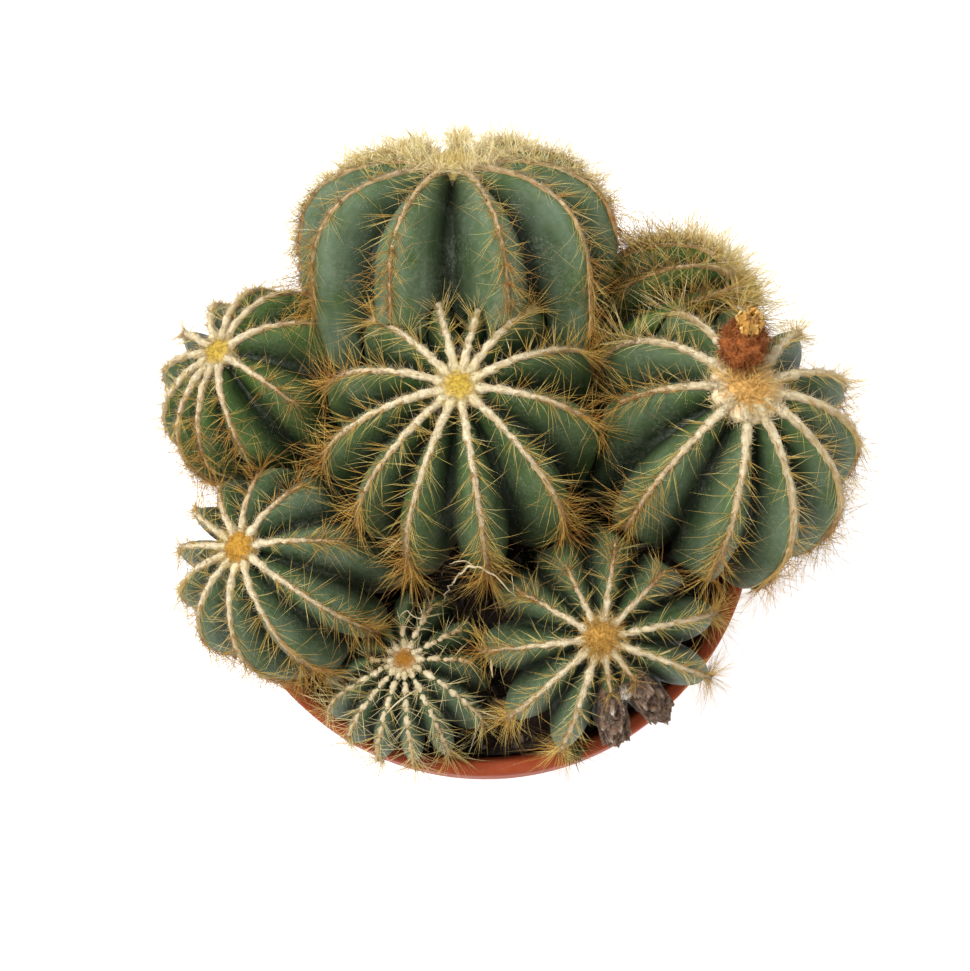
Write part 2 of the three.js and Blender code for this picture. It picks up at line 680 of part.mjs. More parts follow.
function makeCork(head, rib) {
  const columns = columnsOf(head);
  const width = columns.length;
  const [before, here, after] = [4 * rib - 1, 4 * rib, 4 * rib + 1].map((i) => columns[(i + width) % width]);
  const between = (a, b) => ({ bearing: (a.bearing + b.bearing) / 2, share: (a.share + b.share) / 2 });
  const over = [after, between(after, here), here, between(here, before), before];
  const sections = CORK_RINGS.map((ring, k) => {
    const polar = radians(ring);
    const lifts = [0.5, 1, 1.1, 1, 0.5].map((l, i) => (
      FIT + l * CORK_THICKNESS[k] * (0.7 + 0.6 * seeded(rib * 31 + k * 7 + i))));
    const outer = over.map((column, i) => skinPoint(head, polar, column.bearing, column.share, lifts[i]));
    const [start, middle, end] = [after, here, before].map((column) => (
      skinPoint(head, polar, column.bearing, column.share, FIT)));
    return [middle, start, ...outer, end];
  });
  return lofted(sections);
}

const part = new THREE.Group();

function place(name, made, finish) {
  const material = new THREE.MeshStandardMaterial({ ...COLOURS[finish], metalness: 0, flatShading: true });
  const mesh = new THREE.Mesh(geometryOf(made), material);
  mesh.name = name;
  part.add(mesh);
}

place("pot", makePot(), "pot");
place("soil", makeSoil(), "soil");
for (const head of heads) {
  const felt = makeFeltAndSpines(head);
  place(`${head.name}_head`, makeFlesh(head), "flesh");
  place(`${head.name}_felt_and_spines`, felt, "spines");
  if (head === rightHead) {
    place("fruit", makeFruit(), "fruit");
    place("withered_flower", makeFlower(), "flower");
  }
  (head.corkRibs ?? []).forEach((rib, i) => {
    place(`cork_crust_${i + 1}`, makeCork(head, rib), "cork");
  });
}

export default part;
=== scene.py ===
# %% [markdown]
# # A clump of round ribbed cacti in a terracotta-coloured pot
# The plant is eight ribbed heads grown together. Woolly felt runs down the crest of every rib, and fine
# golden spines grow out of it. A CAD model of the plant is loaded first as a fixed frame: it gives every
# size and place. The pieces made here stand where its pieces stand, and only their detail is finer.
# Lengths are worked out in millimetres, as on the CAD model, and become metres when a mesh is made.

import math
from types import SimpleNamespace

import bpy
import numpy as np
from mathutils import Matrix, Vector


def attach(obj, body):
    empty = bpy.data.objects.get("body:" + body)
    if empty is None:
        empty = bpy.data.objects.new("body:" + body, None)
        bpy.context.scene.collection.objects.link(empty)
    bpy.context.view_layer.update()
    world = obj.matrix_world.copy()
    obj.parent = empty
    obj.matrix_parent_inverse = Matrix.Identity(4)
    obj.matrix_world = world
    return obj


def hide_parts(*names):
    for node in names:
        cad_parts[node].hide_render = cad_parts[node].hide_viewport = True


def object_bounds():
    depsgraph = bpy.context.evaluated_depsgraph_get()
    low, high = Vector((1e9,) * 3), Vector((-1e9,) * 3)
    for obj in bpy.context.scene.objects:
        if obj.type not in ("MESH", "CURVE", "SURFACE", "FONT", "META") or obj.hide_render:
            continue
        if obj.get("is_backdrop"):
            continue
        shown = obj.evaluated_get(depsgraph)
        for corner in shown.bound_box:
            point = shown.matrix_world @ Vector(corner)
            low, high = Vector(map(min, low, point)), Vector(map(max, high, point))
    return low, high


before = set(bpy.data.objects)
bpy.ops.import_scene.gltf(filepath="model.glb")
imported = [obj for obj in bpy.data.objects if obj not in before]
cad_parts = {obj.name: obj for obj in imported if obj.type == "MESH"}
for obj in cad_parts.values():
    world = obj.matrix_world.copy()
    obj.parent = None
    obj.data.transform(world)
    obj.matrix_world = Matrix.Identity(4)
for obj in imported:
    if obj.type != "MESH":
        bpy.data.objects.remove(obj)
cad_low, cad_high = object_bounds()
MM = 0.001
print("CAD nodes:", len(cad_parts), "box:", [round(v, 4) for v in (*cad_low, *cad_high)])

# %% [markdown]
# ## Camera
# The pot's rim is a circle, and it shows in the photo as an ellipse. Its flatness says how steeply the
# camera looks down, and its place says where the camera points. A long lens keeps the sides from spreading.
# The rim's middle falls a little under the middle of the picture, so the camera is tipped up by that much.

# %% Camera at the photo's view
RIM_Z = 104.0
PHOTO_HEIGHT = 971
CAMERA_ELEVATION = math.radians(76)
CAMERA_DISTANCE = 620.0
PIXELS_PER_MM = 3.869
RIM_ROW = 506.8
SENSOR_WIDTH = 36.0


def set_up(thing, axes, position):
    """Stands a camera or a light at a position in metres, with its own x, y and z along the axes."""
    matrix = np.eye(4)
    matrix[:3, :3] = np.stack(axes, axis=1)
    matrix[:3, 3] = position
    thing.matrix_world = Matrix(matrix.tolist())
    bpy.context.scene.collection.objects.link(thing)


focal_pixels = PIXELS_PER_MM * CAMERA_DISTANCE
back = np.array([0.0, -math.cos(CAMERA_ELEVATION), math.sin(CAMERA_ELEVATION)])
level = np.array([1.0, 0, 0])
tip_up = (RIM_ROW - PHOTO_HEIGHT / 2) / focal_pixels
forward = -back + tip_up * np.cross(back, level)
forward /= np.linalg.norm(forward)
camera = bpy.data.objects.new("camera", bpy.data.cameras.new("camera"))
camera.data.lens = SENSOR_WIDTH * focal_pixels / PHOTO_HEIGHT
camera.data.sensor_width = SENSOR_WIDTH
position = (np.array([0, 0, RIM_Z]) + CAMERA_DISTANCE * back) * MM
set_up(camera, [level, np.cross(level, forward), -forward], position)
bpy.context.scene.camera = camera
print("lens:", round(camera.data.lens, 1), "mm")

# %% [markdown]
# ## Making a mesh from arrays
# Every piece here is worked out as whole numpy arrays of points. One helper turns points and faces into a
# Blender mesh and paints numbers on it for its finish. Another closes rows of cross-sections into tubes.
# A rib's felt, a spine, a hair, the pot's wall and a whole head are all tubes with different sections, so
# that one helper serves them all.

# %% Points and faces to a piece
def paint(piece, **looks):
    """Writes one number per point under each name, for a material to read."""
    for name, numbers in looks.items():
        layer = piece.data.attributes.new(name, "FLOAT", "POINT")
        layer.data.foreach_set("value", np.asarray(numbers, np.float32).ravel())


def make_piece(name, points, faces, slot, nodes=(), **looks):
    """A smooth mesh from points in millimetres and arrays of faces, painted with its looks. It stands for
    the named CAD nodes."""
    corners = np.concatenate([f.ravel() for f in faces])
    sizes = np.concatenate([np.full(len(f), f.shape[1]) for f in faces])
    mesh = bpy.data.meshes.new(name)
    mesh.vertices.add(len(points))
    mesh.vertices.foreach_set("co", (points * MM).astype(np.float32).ravel())
    mesh.loops.add(len(corners))
    mesh.loops.foreach_set("vertex_index", corners.astype(np.int32))
    mesh.polygons.add(len(sizes))
    mesh.polygons.foreach_set("loop_start", (np.cumsum(sizes) - sizes).astype(np.int32))
    mesh.polygons.foreach_set("use_smooth", np.ones(len(sizes), bool))
    mesh.update()
    piece = bpy.data.objects.new(name, mesh)
    bpy.context.scene.collection.objects.link(piece)
    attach(piece, "root")
    if nodes:
        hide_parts(*nodes)
    paint(piece, **looks)
    return piece


# %% Cross-sections to closed tubes
def tubes(sections, tips=None):
    """Closed tubes from an array of tube, section, corner and xyz. Corners run anticlockwise about the way
    a tube runs. A flat face closes each end, but where tips are given the last section runs to its tip."""
    count, rows, corners, _ = sections.shape
    points = sections.reshape(count, rows * corners, 3)
    row, corner = np.divmod(np.arange((rows - 1) * corners), corners)
    beside = (corner + 1) % corners
    quads = np.stack([row * corners + corner, row * corners + beside,
                      (row + 1) * corners + beside, (row + 1) * corners + corner], axis=-1)
    around = np.arange(corners)
    last = (rows - 1) * corners + around
    faces = [quads, around[None, ::-1]]
    if tips is None:
        faces.append(last[None])
    else:
        points = np.concatenate([points, tips[:, None]], axis=1)
        faces.append(np.stack([last, np.roll(last, -1), np.full(corners, rows * corners)], axis=-1))
    shift = np.arange(count)[:, None, None] * points.shape[1]
    return points.reshape(-1, 3), [(f + shift).reshape(-1, f.shape[1]) for f in faces]


X, Y, Z = np.eye(3)


def unit(vectors):
    """Vectors scaled to length 1."""
    return vectors / np.maximum(np.linalg.norm(vectors, axis=-1, keepdims=True), 1e-9)


def dot(a, b):
    """The dot products of two arrays of vectors."""
    return (a * b).sum(axis=-1)


def full_turn(corners):
    """The angles of that many corners, evenly round a circle."""
    return np.arange(corners) * math.tau / corners


def swing(turn, first, second):
    """The way that lies an angle round from a first direction, towards a second one square to it."""
    return np.cos(turn)[..., None] * first + np.sin(turn)[..., None] * second


def merged(parts):
    """Several (points, faces) made one: each part's face numbers start after the points before it."""
    points, faces, total = [], [], 0
    for part_points, part_faces in parts:
        points.append(part_points)
        faces += [f + total for f in part_faces]
        total += len(part_points)
    return np.concatenate(points), faces


def wobble(points, size, seed, waves=9):
    """Smooth noise, mostly from -1 to 1: a sum of waves about size mm long in random directions."""
    draw = np.random.default_rng(seed)
    ways = unit(draw.normal(size=(waves, 3))) * (math.tau / (size * draw.uniform(0.7, 1.5, (waves, 1))))
    phases = draw.uniform(0, math.tau, waves)
    return np.sin(points @ ways.T + phases).sum(axis=-1) / math.sqrt(waves)


# %% [markdown]
# ## The heads' shape
# Each head is a ball, squared a little, with a dimple at the crown and deep grooves between its ribs. A
# point of the skin is found along a ray from the head's centre: the ball's reach, cut down by the groove at
# that bearing. Neighbours that only touch are parted by a flat plane, and a soft minimum rounds the edge of
# that contact. Two heads at the back are soft enough to be moulded round the firmer heads in front of them.
# These are the same formulas and the same sizes as in the CAD model.

# %% Sizes of the heads
SOIL_Z = 92.0
RIM_RADIUS, LIP_INNER_RADIUS = 70.0, 65.5
FIT, HEAD_GAP, MOULD_GAP = 0.35, 0.5, 2.4
GROOVE_DEPTH, GROOVE_SHAPE = 0.3, 1.8
DIMPLE_DEPTH, DIMPLE_ANGLE = 0.09, math.radians(14)
SMOOTH_CROWN, UNEVEN_FROM = math.radians(18), math.radians(70)
UNEVEN_WIDTH = 17.0
CREST, GROOVE = 0.0, 1.0


def make_head(name, centre, size, square, lean, foot, firm, spine, ribs, moulded_on=(), uneven=()):
    """A head's numbers and its frame: the axis to its crown and two directions square to it. size is its
    radius and its half-heights towards the crown and away from it; lean is how far and which way it tips."""
    tilt, towards = np.radians(lean)
    axis = np.array([math.sin(tilt) * math.cos(towards), math.sin(tilt) * math.sin(towards), math.cos(tilt)])
    across = unit(np.array([1.0, 0, 0]) - axis * axis[0])
    return SimpleNamespace(
        name=name, centre=np.array(centre) + [0, 0, RIM_Z], radius=size[0], rise=size[1], fall=size[2],
        square=square, axis=axis, across=across, along=np.cross(axis, across), foot=foot, firm=firm,
        spine=spine, ribs=np.array(ribs, float), moulded_on=moulded_on, uneven=uneven, planes=[])


HEADS = [
    make_head("middle", [-5, 8, 44], [34.5, 29, 50], 2.25, [7, 108], [-5, 4], 4, 1,
              [27, 55, 78, 103, 133, 165, 195, 223, 247, 279, 314, 352]),
    make_head("back", [-6.5, 51, 36], [40, 29.5, 26], 3.2, [51, 93], [-7, 44], 1, 0.8,
              [27, 58, 88, 117, 146, 174, 209, 247, 288, 323, 355], moulded_on=["middle", "left"]),
    make_head("right", [56.5, 6.5, 34], [34.5, 30, 38], 2.3, [18, 53], [44, 4], 3, 1,
              [24, 55, 86, 117, 145, 183, 227, 266, 296, 326, 356]),
    make_head("far", [45.5, 40.5, 22], [23.5, 23.5, 22], 2.3, [70, 22], [37, 34], 0.6, 1.1,
              [25, 55, 85, 115, 145, 181, 208, 236, 266, 296, 326, 356], moulded_on=["right"]),
    make_head("left", [-54.5, 22.8, 25], [26.5, 23, 34], 2.3, [33, 153], [-46, 20], 1.2, 0.9,
              [15, 54, 78, 108, 138, 168, 199, 223, 246, 275, 318]),
    make_head("lower_left", [-48, -21.5, 24], [27.5, 24, 33], 2.3, [28, 177], [-40, -17], 2, 0.95,
              [1, 47, 83, 118, 144, 170, 196, 224, 257, 288, 321]),
    make_head("small", [-19, -45.5, 8], [22, 18, 19], 2.3, [4, 130], [-16, -40], 1.5, 0.75,
              [1, 31, 66, 92, 121, 152, 181, 205, 228, 250, 273, 297, 327]),
    make_head("lower_right", [27.5, -38, 21], [29.5, 24, 30], 2.3, [12, 270], [24, -33], 3.5, 0.9,
              [11, 46, 81, 116, 150, 187, 222, 252, 280, 309, 340],
              uneven=[[1, 1.1], [2, 1.14], [3, 1.12], [8, 0.86], [9, 0.82]]),
]
by_name = {head.name: head for head in HEADS}
print("heads:", len(HEADS), "ribs:", sum(len(head.ribs) for head in HEADS))


# %% Planes between touching heads
def plain_reach(head, way):
    """How far the plain ball reaches one way."""
    up = way @ head.axis
    half = head.rise if up > 0 else head.fall
    return math.hypot(head.radius * math.sqrt(max(0, 1 - up * up)), half * up)


for head in HEADS:
    head.firmer = [by_name[name] for name in head.moulded_on]
    head.others = [other for other in HEADS if other is not head]
    for other in head.others:
        if other.name in head.moulded_on or head.name in other.moulded_on:
            continue
        apart = np.linalg.norm(other.centre - head.centre)
        normal = (other.centre - head.centre) / apart
        own = plain_reach(head, normal)
        spare = apart - own - plain_reach(other, -normal)
        share = 0.5 if spare > 0 else other.firm / (head.firm + other.firm)
        head.planes.append((normal, own + share * spare - HEAD_GAP))
print("planes per head:", [len(head.planes) for head in HEADS])


# %% The ribbed ball
def aim(head, polar, bearing):
    """Directions from a head's centre, by the angle from its crown and the bearing round its axis."""
    polar, bearing = np.broadcast_arrays(polar, bearing)
    aside = np.sin(polar)[..., None] * swing(bearing, head.across, head.along)
    return aside + np.cos(polar)[..., None] * head.axis


def groove_share(head, bearing):
    """0 on a rib's crest and 1 in the middle of a groove, in straight lines between."""
    gaps = np.diff(np.append(head.ribs, head.ribs[0] + 360))
    knots = np.stack([head.ribs, head.ribs + gaps / 2], axis=1).ravel()
    return np.interp(np.degrees(bearing), knots, np.tile([CREST, GROOVE], len(gaps)), period=360)


def rib_growth(head, bearing):
    """The share of its full reach that a stunted or stretched rib has: a bell round its bearing."""
    growth = np.ones_like(bearing)
    for rib, share in head.uneven:
        offset = (np.degrees(bearing) - head.ribs[rib] + 180) % 360 - 180
        growth = growth * (1 + (share - 1) * np.exp(-(offset / UNEVEN_WIDTH) ** 2))
    return growth


def free_reach(head, polar, bearing):
    """The reach before anything presses: a superellipse, dimpled at the crown, less the groove's depth."""
    half = np.where(np.cos(polar) > 0, head.rise, head.fall)
    ball = ((np.abs(np.sin(polar)) / head.radius) ** head.square
            + (np.abs(np.cos(polar)) / half) ** head.square) ** (-1 / head.square)
    dimple = 1 - DIMPLE_DEPTH * np.exp(-(polar / DIMPLE_ANGLE) ** 2)
    deep = GROOVE_DEPTH * (1 - np.exp(-polar / SMOOTH_CROWN))
    groove = 1 - deep * groove_share(head, bearing) ** GROOVE_SHAPE
    uneven = 1 - (1 - rib_growth(head, bearing)) * np.minimum(1, polar / UNEVEN_FROM) ** 2
    return ball * dimple * groove * uneven


def between_planes(head, way, free, sharpness=1.2):
    """The free reach cut down to the head's planes by a soft minimum, which rounds the edge."""
    total = np.exp(-sharpness * free)
    for normal, distance in head.planes:
        towards = way @ normal
        near = np.exp(-sharpness * distance / np.maximum(towards, 0.02))
        total = total + np.where(towards > 0.02, near, 0)
    return -np.log(total) / sharpness


# %% What stops a head's skin
SEARCH_STEP, HALVINGS = 1.5, 12
LIP_ROOM, LIP_SAG, WALL_FALL = 0.3, 0.6, 3
FARTHEST_SHARE = 1.6


def inside(head, points, margin):
    """True for points in a head that is swollen by the margin."""
    away = points - head.centre
    distance = np.linalg.norm(away, axis=-1)
    way = away / np.maximum(distance, 1e-6)[..., None]
    polar = np.arccos(np.clip(way @ head.axis, -1, 1))
    bearing = np.arctan2(way @ head.along, way @ head.across)
    reach = between_planes(head, way, free_reach(head, polar, bearing))
    return (distance < reach + margin) & (distance < FARTHEST_SHARE * head.radius + margin)


def lip_height(points):
    """The lowest free height over the pot: its rolled lip, a sag outside it and the wall inside it."""
    radius = np.hypot(points[..., 0], points[..., 1])
    outside = np.maximum(0, radius - RIM_RADIUS - LIP_ROOM)
    within = np.maximum(0, LIP_INNER_RADIUS - LIP_ROOM - radius)
    return RIM_Z + FIT - LIP_SAG * outside - WALL_FALL * within


def blocked(head, points, moulded=True):
    """True for points in the soil, in the pot's lip or in a head that this one is moulded on."""
    stopped = (points[..., 2] < SOIL_Z + FIT) | (points[..., 2] < lip_height(points))
    for other in head.firmer if moulded else []:
        stopped |= inside(other, points, MOULD_GAP)
    return stopped


def skin(head, polar, bearing, moulded=True):
    """Points of the skin: along each ray, the last free place before the reach or the first stop. Even
    steps find the stop, and halving a step again and again places it."""
    way = aim(head, polar, bearing)
    free = between_planes(head, way, free_reach(head, polar, bearing))
    steps = np.arange(0, free.max() + SEARCH_STEP, SEARCH_STEP)
    tried = np.minimum(steps, free[..., None])
    stops = blocked(head, head.centre + way[..., None, :] * tried[..., None], moulded)
    first = stops.argmax(axis=-1)
    low = np.where(stops.any(axis=-1), np.maximum(0, steps[first] - SEARCH_STEP), free)
    high = np.where(stops.any(axis=-1), np.minimum(steps[first], free), free)
    for _ in range(HALVINGS):
        half = (low + high) / 2
        hit = blocked(head, head.centre + way * half[..., None], moulded)
        low, high = np.where(hit, low, half), np.where(hit, half, high)
    return head.centre + way * low[..., None]


# %% [markdown]
# ## Skin
# The skin is one tube from crown to root. Its cross-sections are rings round the head, close enough to
# draw the convex flanks and the sharp creases. Slow waves of half a millimetre keep the flanks from looking
# machined. The last rings draw in to the stem's foot, which stands in the soil.

# %% Skin of each head
RIB_COLUMNS = 12
LOWEST_RING = 132.0
RING_STEP = 2.0
STEM_SHARE, ROOT_SHARE = 0.3, 0.8
# How much wax each head carries. The far head's low value is partly painted shade: it darkens the head that sits
# in shade between the back and right heads.
BLOOM = {"middle": 0.42, "back": 0.8, "right": 0.68, "far": 0.05, "left": 0.2, "lower_left": 0.8, "small": 0.8,
         "lower_right": 0.75}


def skin_sections(head, lift=0.0):
    """Rings of skin points from the crown down, drawn in at the end to the foot in the soil."""
    gaps = np.diff(np.append(head.ribs, head.ribs[0] + 360))
    bearing = np.radians((head.ribs[:, None] + gaps[:, None] * np.arange(RIB_COLUMNS) / RIB_COLUMNS).ravel())
    polar = np.radians(np.arange(1.5, LOWEST_RING + 0.1, RING_STEP))
    rings = skin(head, polar[:, None], bearing[None, :], moulded=False)
    share = groove_share(head, bearing)
    way = unit(rings - head.centre)
    relief = 0.28 * wobble(rings, 17, 5) + 0.12 * wobble(rings, 6, 8)
    relief *= np.minimum(1, polar[:, None] / math.radians(25)) * (1 - 0.6 * share)
    rings = rings + way * (relief - 0.3 + lift)[..., None]
    upright = unit(swing(bearing, head.across, head.along) * [1, 1, 0])
    foot = np.array([*head.foot, 0.0])
    stem, root = (foot + upright * STEM_SHARE * head.radius * width + [0, 0, z]
                  for z, width in [(SOIL_Z + 1, 1), (SOIL_Z - 12, ROOT_SHARE)])
    steps = np.linspace(0, 1, 7)[1:, None, None]
    return np.concatenate([rings, rings[-1] * (1 - steps) + stem * steps, root[None]])


def make_skin(head, name, lift=0.0, nodes=()):
    """A head's skin as a piece."""
    return make_piece(name, *tubes(skin_sections(head, lift)[::-1][None]), "flesh", nodes)


def paint_skin(head, piece):
    """Paints on what the skin's finish reads: how far into a groove each point is, how far down the head,
    its bearing in radians, and how much wax this head carries; the far head's small amount is partly
    painted shade."""
    points = np.empty(len(piece.data.vertices) * 3, np.float32)
    piece.data.vertices.foreach_get("co", points)
    away = points.reshape(-1, 3) / MM - head.centre
    polar = np.arccos(np.clip(unit(away) @ head.axis, -1, 1))
    bearing = np.arctan2(away @ head.along, away @ head.across)
    paint(piece, groove=groove_share(head, bearing), age=polar / math.radians(LOWEST_RING), turn=bearing,
          wax=np.full(len(polar), BLOOM[head.name]))


for head in HEADS:
    head.skin_piece = make_skin(head, f"{head.name}_skin", nodes=[f"{head.name}_head"])
    print(head.skin_piece.name, len(head.skin_piece.data.vertices), "points")

# %% [markdown]
# The two soft heads at the back lie against firmer ones. Their skins are hollowed there: a copy of the
# firmer head, swollen by the room that its wool needs, is cut away from each.

# %% Hollows in the soft heads
MOULD_ROOM = 1.0


def apply_modifiers(piece):
    """Bakes a piece's modifiers into its mesh."""
    bpy.context.view_layer.update()
    shaped = piece.evaluated_get(bpy.context.evaluated_depsgraph_get())
    mesh = bpy.data.meshes.new_from_object(shaped)
    piece.modifiers.clear()
    piece.data = mesh


def cut_away(piece, cutter):
    """Cuts one closed piece out of another, and removes the cutter."""
    cut = piece.modifiers.new("cut", "BOOLEAN")
    cut.object, cut.solver = cutter, "MANIFOLD"
    apply_modifiers(piece)
    bpy.data.objects.remove(cutter)


for head in HEADS:
    for other in head.firmer:
        cut_away(head.skin_piece, make_skin(other, f"{other.name}_swollen", MOULD_ROOM))
        print(head.skin_piece.name, "hollowed by", other.name, len(head.skin_piece.data.polygons), "faces")
    paint_skin(head, head.skin_piece)

# %% [markdown]
# ## Crest lines
# Everything woolly or sharp grows along the ribs' crests. Each crest is followed down from the edge of the
# crown's cushion until the rib presses on a neighbour, the pot or the soil, or reaches the scarred skin that
# cork covers. It is then cut into even steps. At each step three directions are kept: along the crest,
# sideways over the flank, and out of the skin.

# %% Crests as even steps
YOUNG_HEAD = "small"
CREST_STEP = 0.9
CREST_START, CREST_END = 2.0, 124.0
FEWEST_STEPS = 15
CUSHION_LAP, YOUNG_LAP = 1.8, 1.1
FELT_ROOM, PLANE_ROOM, HOLLOW_ROOM = 1.6, 0.2, 1.0
CROWN_RADIUS = {"middle": 4.5, "back": 5.5, "right": 5.6, "far": 4.0, "left": 4.1, "lower_left": 4.4,
                "small": 3.1, "lower_right": 4.2}
SCARRED_FROM = {("lower_right", 8): 33.0, ("lower_right", 9): 33.0}


def resample(values, travelled, at):
    """Rows of values moved from one set of distances to another by straight lines."""
    return np.stack([np.interp(at, travelled, values[:, i]) for i in range(values.shape[1])], axis=-1)


def crest_lines(head):
    """Each rib's crest down to where it is pressed, in even steps with its three directions."""
    polar = np.radians(np.arange(CREST_START, CREST_END, 1.0))[:, None]
    bearing = np.radians(head.ribs)[None, :]
    crests = skin(head, polar, bearing, moulded=False)
    out = aim(head, polar, bearing)
    tops = crests + out * FELT_ROOM
    clear = ~blocked(head, tops, moulded=False)
    for other in head.firmer:
        clear &= ~inside(other, crests, MOULD_ROOM + HOLLOW_ROOM)
    for normal, distance in head.planes:
        clear &= (tops - head.centre) @ normal < distance + PLANE_ROOM
    for (name, rib), scarred in SCARRED_FROM.items():
        if name == head.name:
            clear[:, rib] &= polar[:, 0] < math.radians(scarred)
    aside = crests - crests[:1].mean(axis=1, keepdims=True)
    aside = np.linalg.norm(aside - dot(aside, head.axis)[..., None] * head.axis, axis=-1)
    cushion = CROWN_RADIUS[head.name] - (YOUNG_LAP if head.name == YOUNG_HEAD else CUSHION_LAP)
    lines = []
    for rib in range(len(head.ribs)):
        begin = (aside[:, rib] > cushion).argmax()
        stop = len(polar) if clear[:, rib].all() else clear[:, rib].argmin()
        if stop < begin + FEWEST_STEPS:
            continue
        path, ways = crests[begin:stop, rib], out[begin:stop, rib]
        travelled = np.append(0, np.linalg.norm(np.diff(path, axis=0), axis=1).cumsum())
        at = np.arange(0, travelled[-1], CREST_STEP)
        points = resample(path, travelled, at)
        tangent = unit(np.gradient(points, axis=0))
        side = unit(np.cross(tangent, resample(ways, travelled, at)))
        wander = 0.13 * wobble(points, 2.6, 44)[:, None]
        lines.append(SimpleNamespace(
            rib=rib, points=points + side * wander, tangent=tangent, side=side, normal=np.cross(side, tangent),
            at=at, length=travelled[-1]))
    return lines


for head in HEADS:
    head.lines = crest_lines(head)
    print(head.name, "open crests:", len(head.lines), "longest:", round(max(c.length for c in head.lines)), "mm")

# %% [markdown]
# ## Wool
# The wool sits on the crest in pads, one at each areole, which is the spot that spines grow from. On old
# heads the pads run together into a ribbon that swells a little at each pad and thins out down the rib. On
# the young small head they are still apart. Both are flattened tubes. Short hairs stand out of them, so
# that the edge isn't a line. What the finish reads is kept for each point: how far down the rib it is, how
# near a pad's middle, and how near the ribbon's edge.

# %% Woolly ribbons
YOUNG_SPACING, USUAL_SPACING = 4.0, 4.3
WOOL_WIDTH = {"back": 0.8, "far": 0.8, "right": 1.2, "left": 0.95, "lower_left": 0.85, "lower_right": 0.82}
RIBBON_HALF_WIDTH, RIBBON_HEIGHT, RIBBON_SINK = 0.86, 0.66, 1.2
RIBBON_TURNS = full_turn(8)
PAD_HALF_LENGTH, PAD_HALF_WIDTH, PAD_HEIGHT = 1.85, 0.82, 0.62


def spacing_of(head):
    """The distance from one areole to the next."""
    return YOUNG_SPACING if head.name == YOUNG_HEAD else USUAL_SPACING


def bead_wave(head, at):
    """1 in the middle of each areole's pad and 0 halfway to the next."""
    return 0.5 + 0.5 * np.cos(math.tau * (at / spacing_of(head) - 0.5))


def ribbon_size(head, line):
    """The ribbon's half-width and height along a crest: widest near the crown, beaded, thin at the end."""
    share = line.at / line.length
    taper = np.interp(line.at, [0, 5, 16], [1.7, 1.3, 1.0]) * (1 - 0.6 * share ** 1.4)
    bead = bead_wave(head, line.at)
    lumps = 1 + 0.13 * wobble(line.points, 3.1, 40 + line.rib) + 0.09 * wobble(line.points, 1.2, 55)
    swell = taper * WOOL_WIDTH.get(head.name, 1.0) * np.maximum(lumps, 0.4) * (0.92 + 0.18 * bead ** 2)
    return RIBBON_HALF_WIDTH * swell, RIBBON_HEIGHT * swell


def crest_where(line, pick):
    """The crest's points and two of its directions, each passed through a function that picks from them."""
    return SimpleNamespace(points=pick(line.points), normal=pick(line.normal), side=pick(line.side))


def ribbon_surface(crest, half_width, height, turn):
    """Points round a ribbon: an ellipse from its left edge over the top, and an underside sunk in the skin."""
    rise = np.where(np.sin(turn) < -0.1, -RIBBON_SINK, np.sin(turn) * height - 0.12)
    return crest.points + crest.normal * rise[..., None] - crest.side * (np.cos(turn) * half_width)[..., None]


def ribbon_rings(crest, half_width, height):
    """The ribbon's cross-section at each point of the crest, as a ring of corners."""
    rings = [ribbon_surface(crest, half_width, height, np.full(half_width.shape, turn)) for turn in RIBBON_TURNS]
    return np.stack(rings, axis=-2)


def ribbon(head, line):
    """One beaded ribbon as a closed tube, with the distance down the crest of each of its points."""
    return tubes(ribbon_rings(line, *ribbon_size(head, line))[None]), np.repeat(line.at, len(RIBBON_TURNS))


def pads(head, line):
    """Separate pads: each is a short tube and looks like an ellipse from above."""
    middles = np.arange(0.36, line.length / spacing_of(head)) * spacing_of(head)
    along = np.linspace(-0.97, 0.97, 9)
    at = middles[:, None] + along * PAD_HALF_LENGTH * np.interp(middles, [15, 32], [1, 1.4])[:, None]
    near = crest_where(line, lambda values: resample(values, line.at, at.ravel()).reshape(*at.shape, 3))
    swell = np.sqrt(1 - along ** 2) * (1 + 0.24 * wobble(near.points, 1.6, 57))
    swell = swell * np.interp(at, [0, 12, 30], [1.12, 0.84, 0.5])
    rings = ribbon_rings(near, PAD_HALF_WIDTH * swell, PAD_HEIGHT * swell)
    ruffled = (near.normal + near.side)[:, :, None] * 0.16 * wobble(rings, 0.9, 58)[..., None]
    return tubes(rings + ruffled), np.repeat(at.ravel(), len(RIBBON_TURNS))


# %% Hairs and bristles
HAIR_SHARES = [0, 0, 0, 1]
BRISTLE_SHARES = [0, 0, 0, 0.5, 0.5, 0.5, 1]
MIDDLE_WIDTH = 0.78


def bristles(bases, ways, lengths, radius, bends=None):
    """Three-sided bristles from a small base to a point. A hair has no bend and runs straight. A bent bristle
    has one more section halfway: at share t it lies t along its way, plus t squared of its bend."""
    helper = np.where(np.abs(ways[:, 2:]) < 0.8, Z, X)
    first = unit(np.cross(helper, ways))
    ring = swing(full_turn(3), first[:, None], np.cross(ways, first)[:, None]) * radius
    if bends is None:
        return tubes((bases[:, None] + ring)[:, None], bases + ways * lengths[:, None])
    middles = bases + (ways * 0.5 + bends * 0.25) * lengths[:, None]
    sections = np.stack([bases[:, None] + ring, middles[:, None] + ring * MIDDLE_WIDTH], axis=1)
    return tubes(sections, bases + (ways + bends) * lengths[:, None])


# %% Hairs of the ribbons and locks round the crown
HAIRS_PER_MM = 10.5
HAIR_RADIUS, LOCK_RADIUS = 0.048, 0.14
LOWEST_TUFT = 0.2


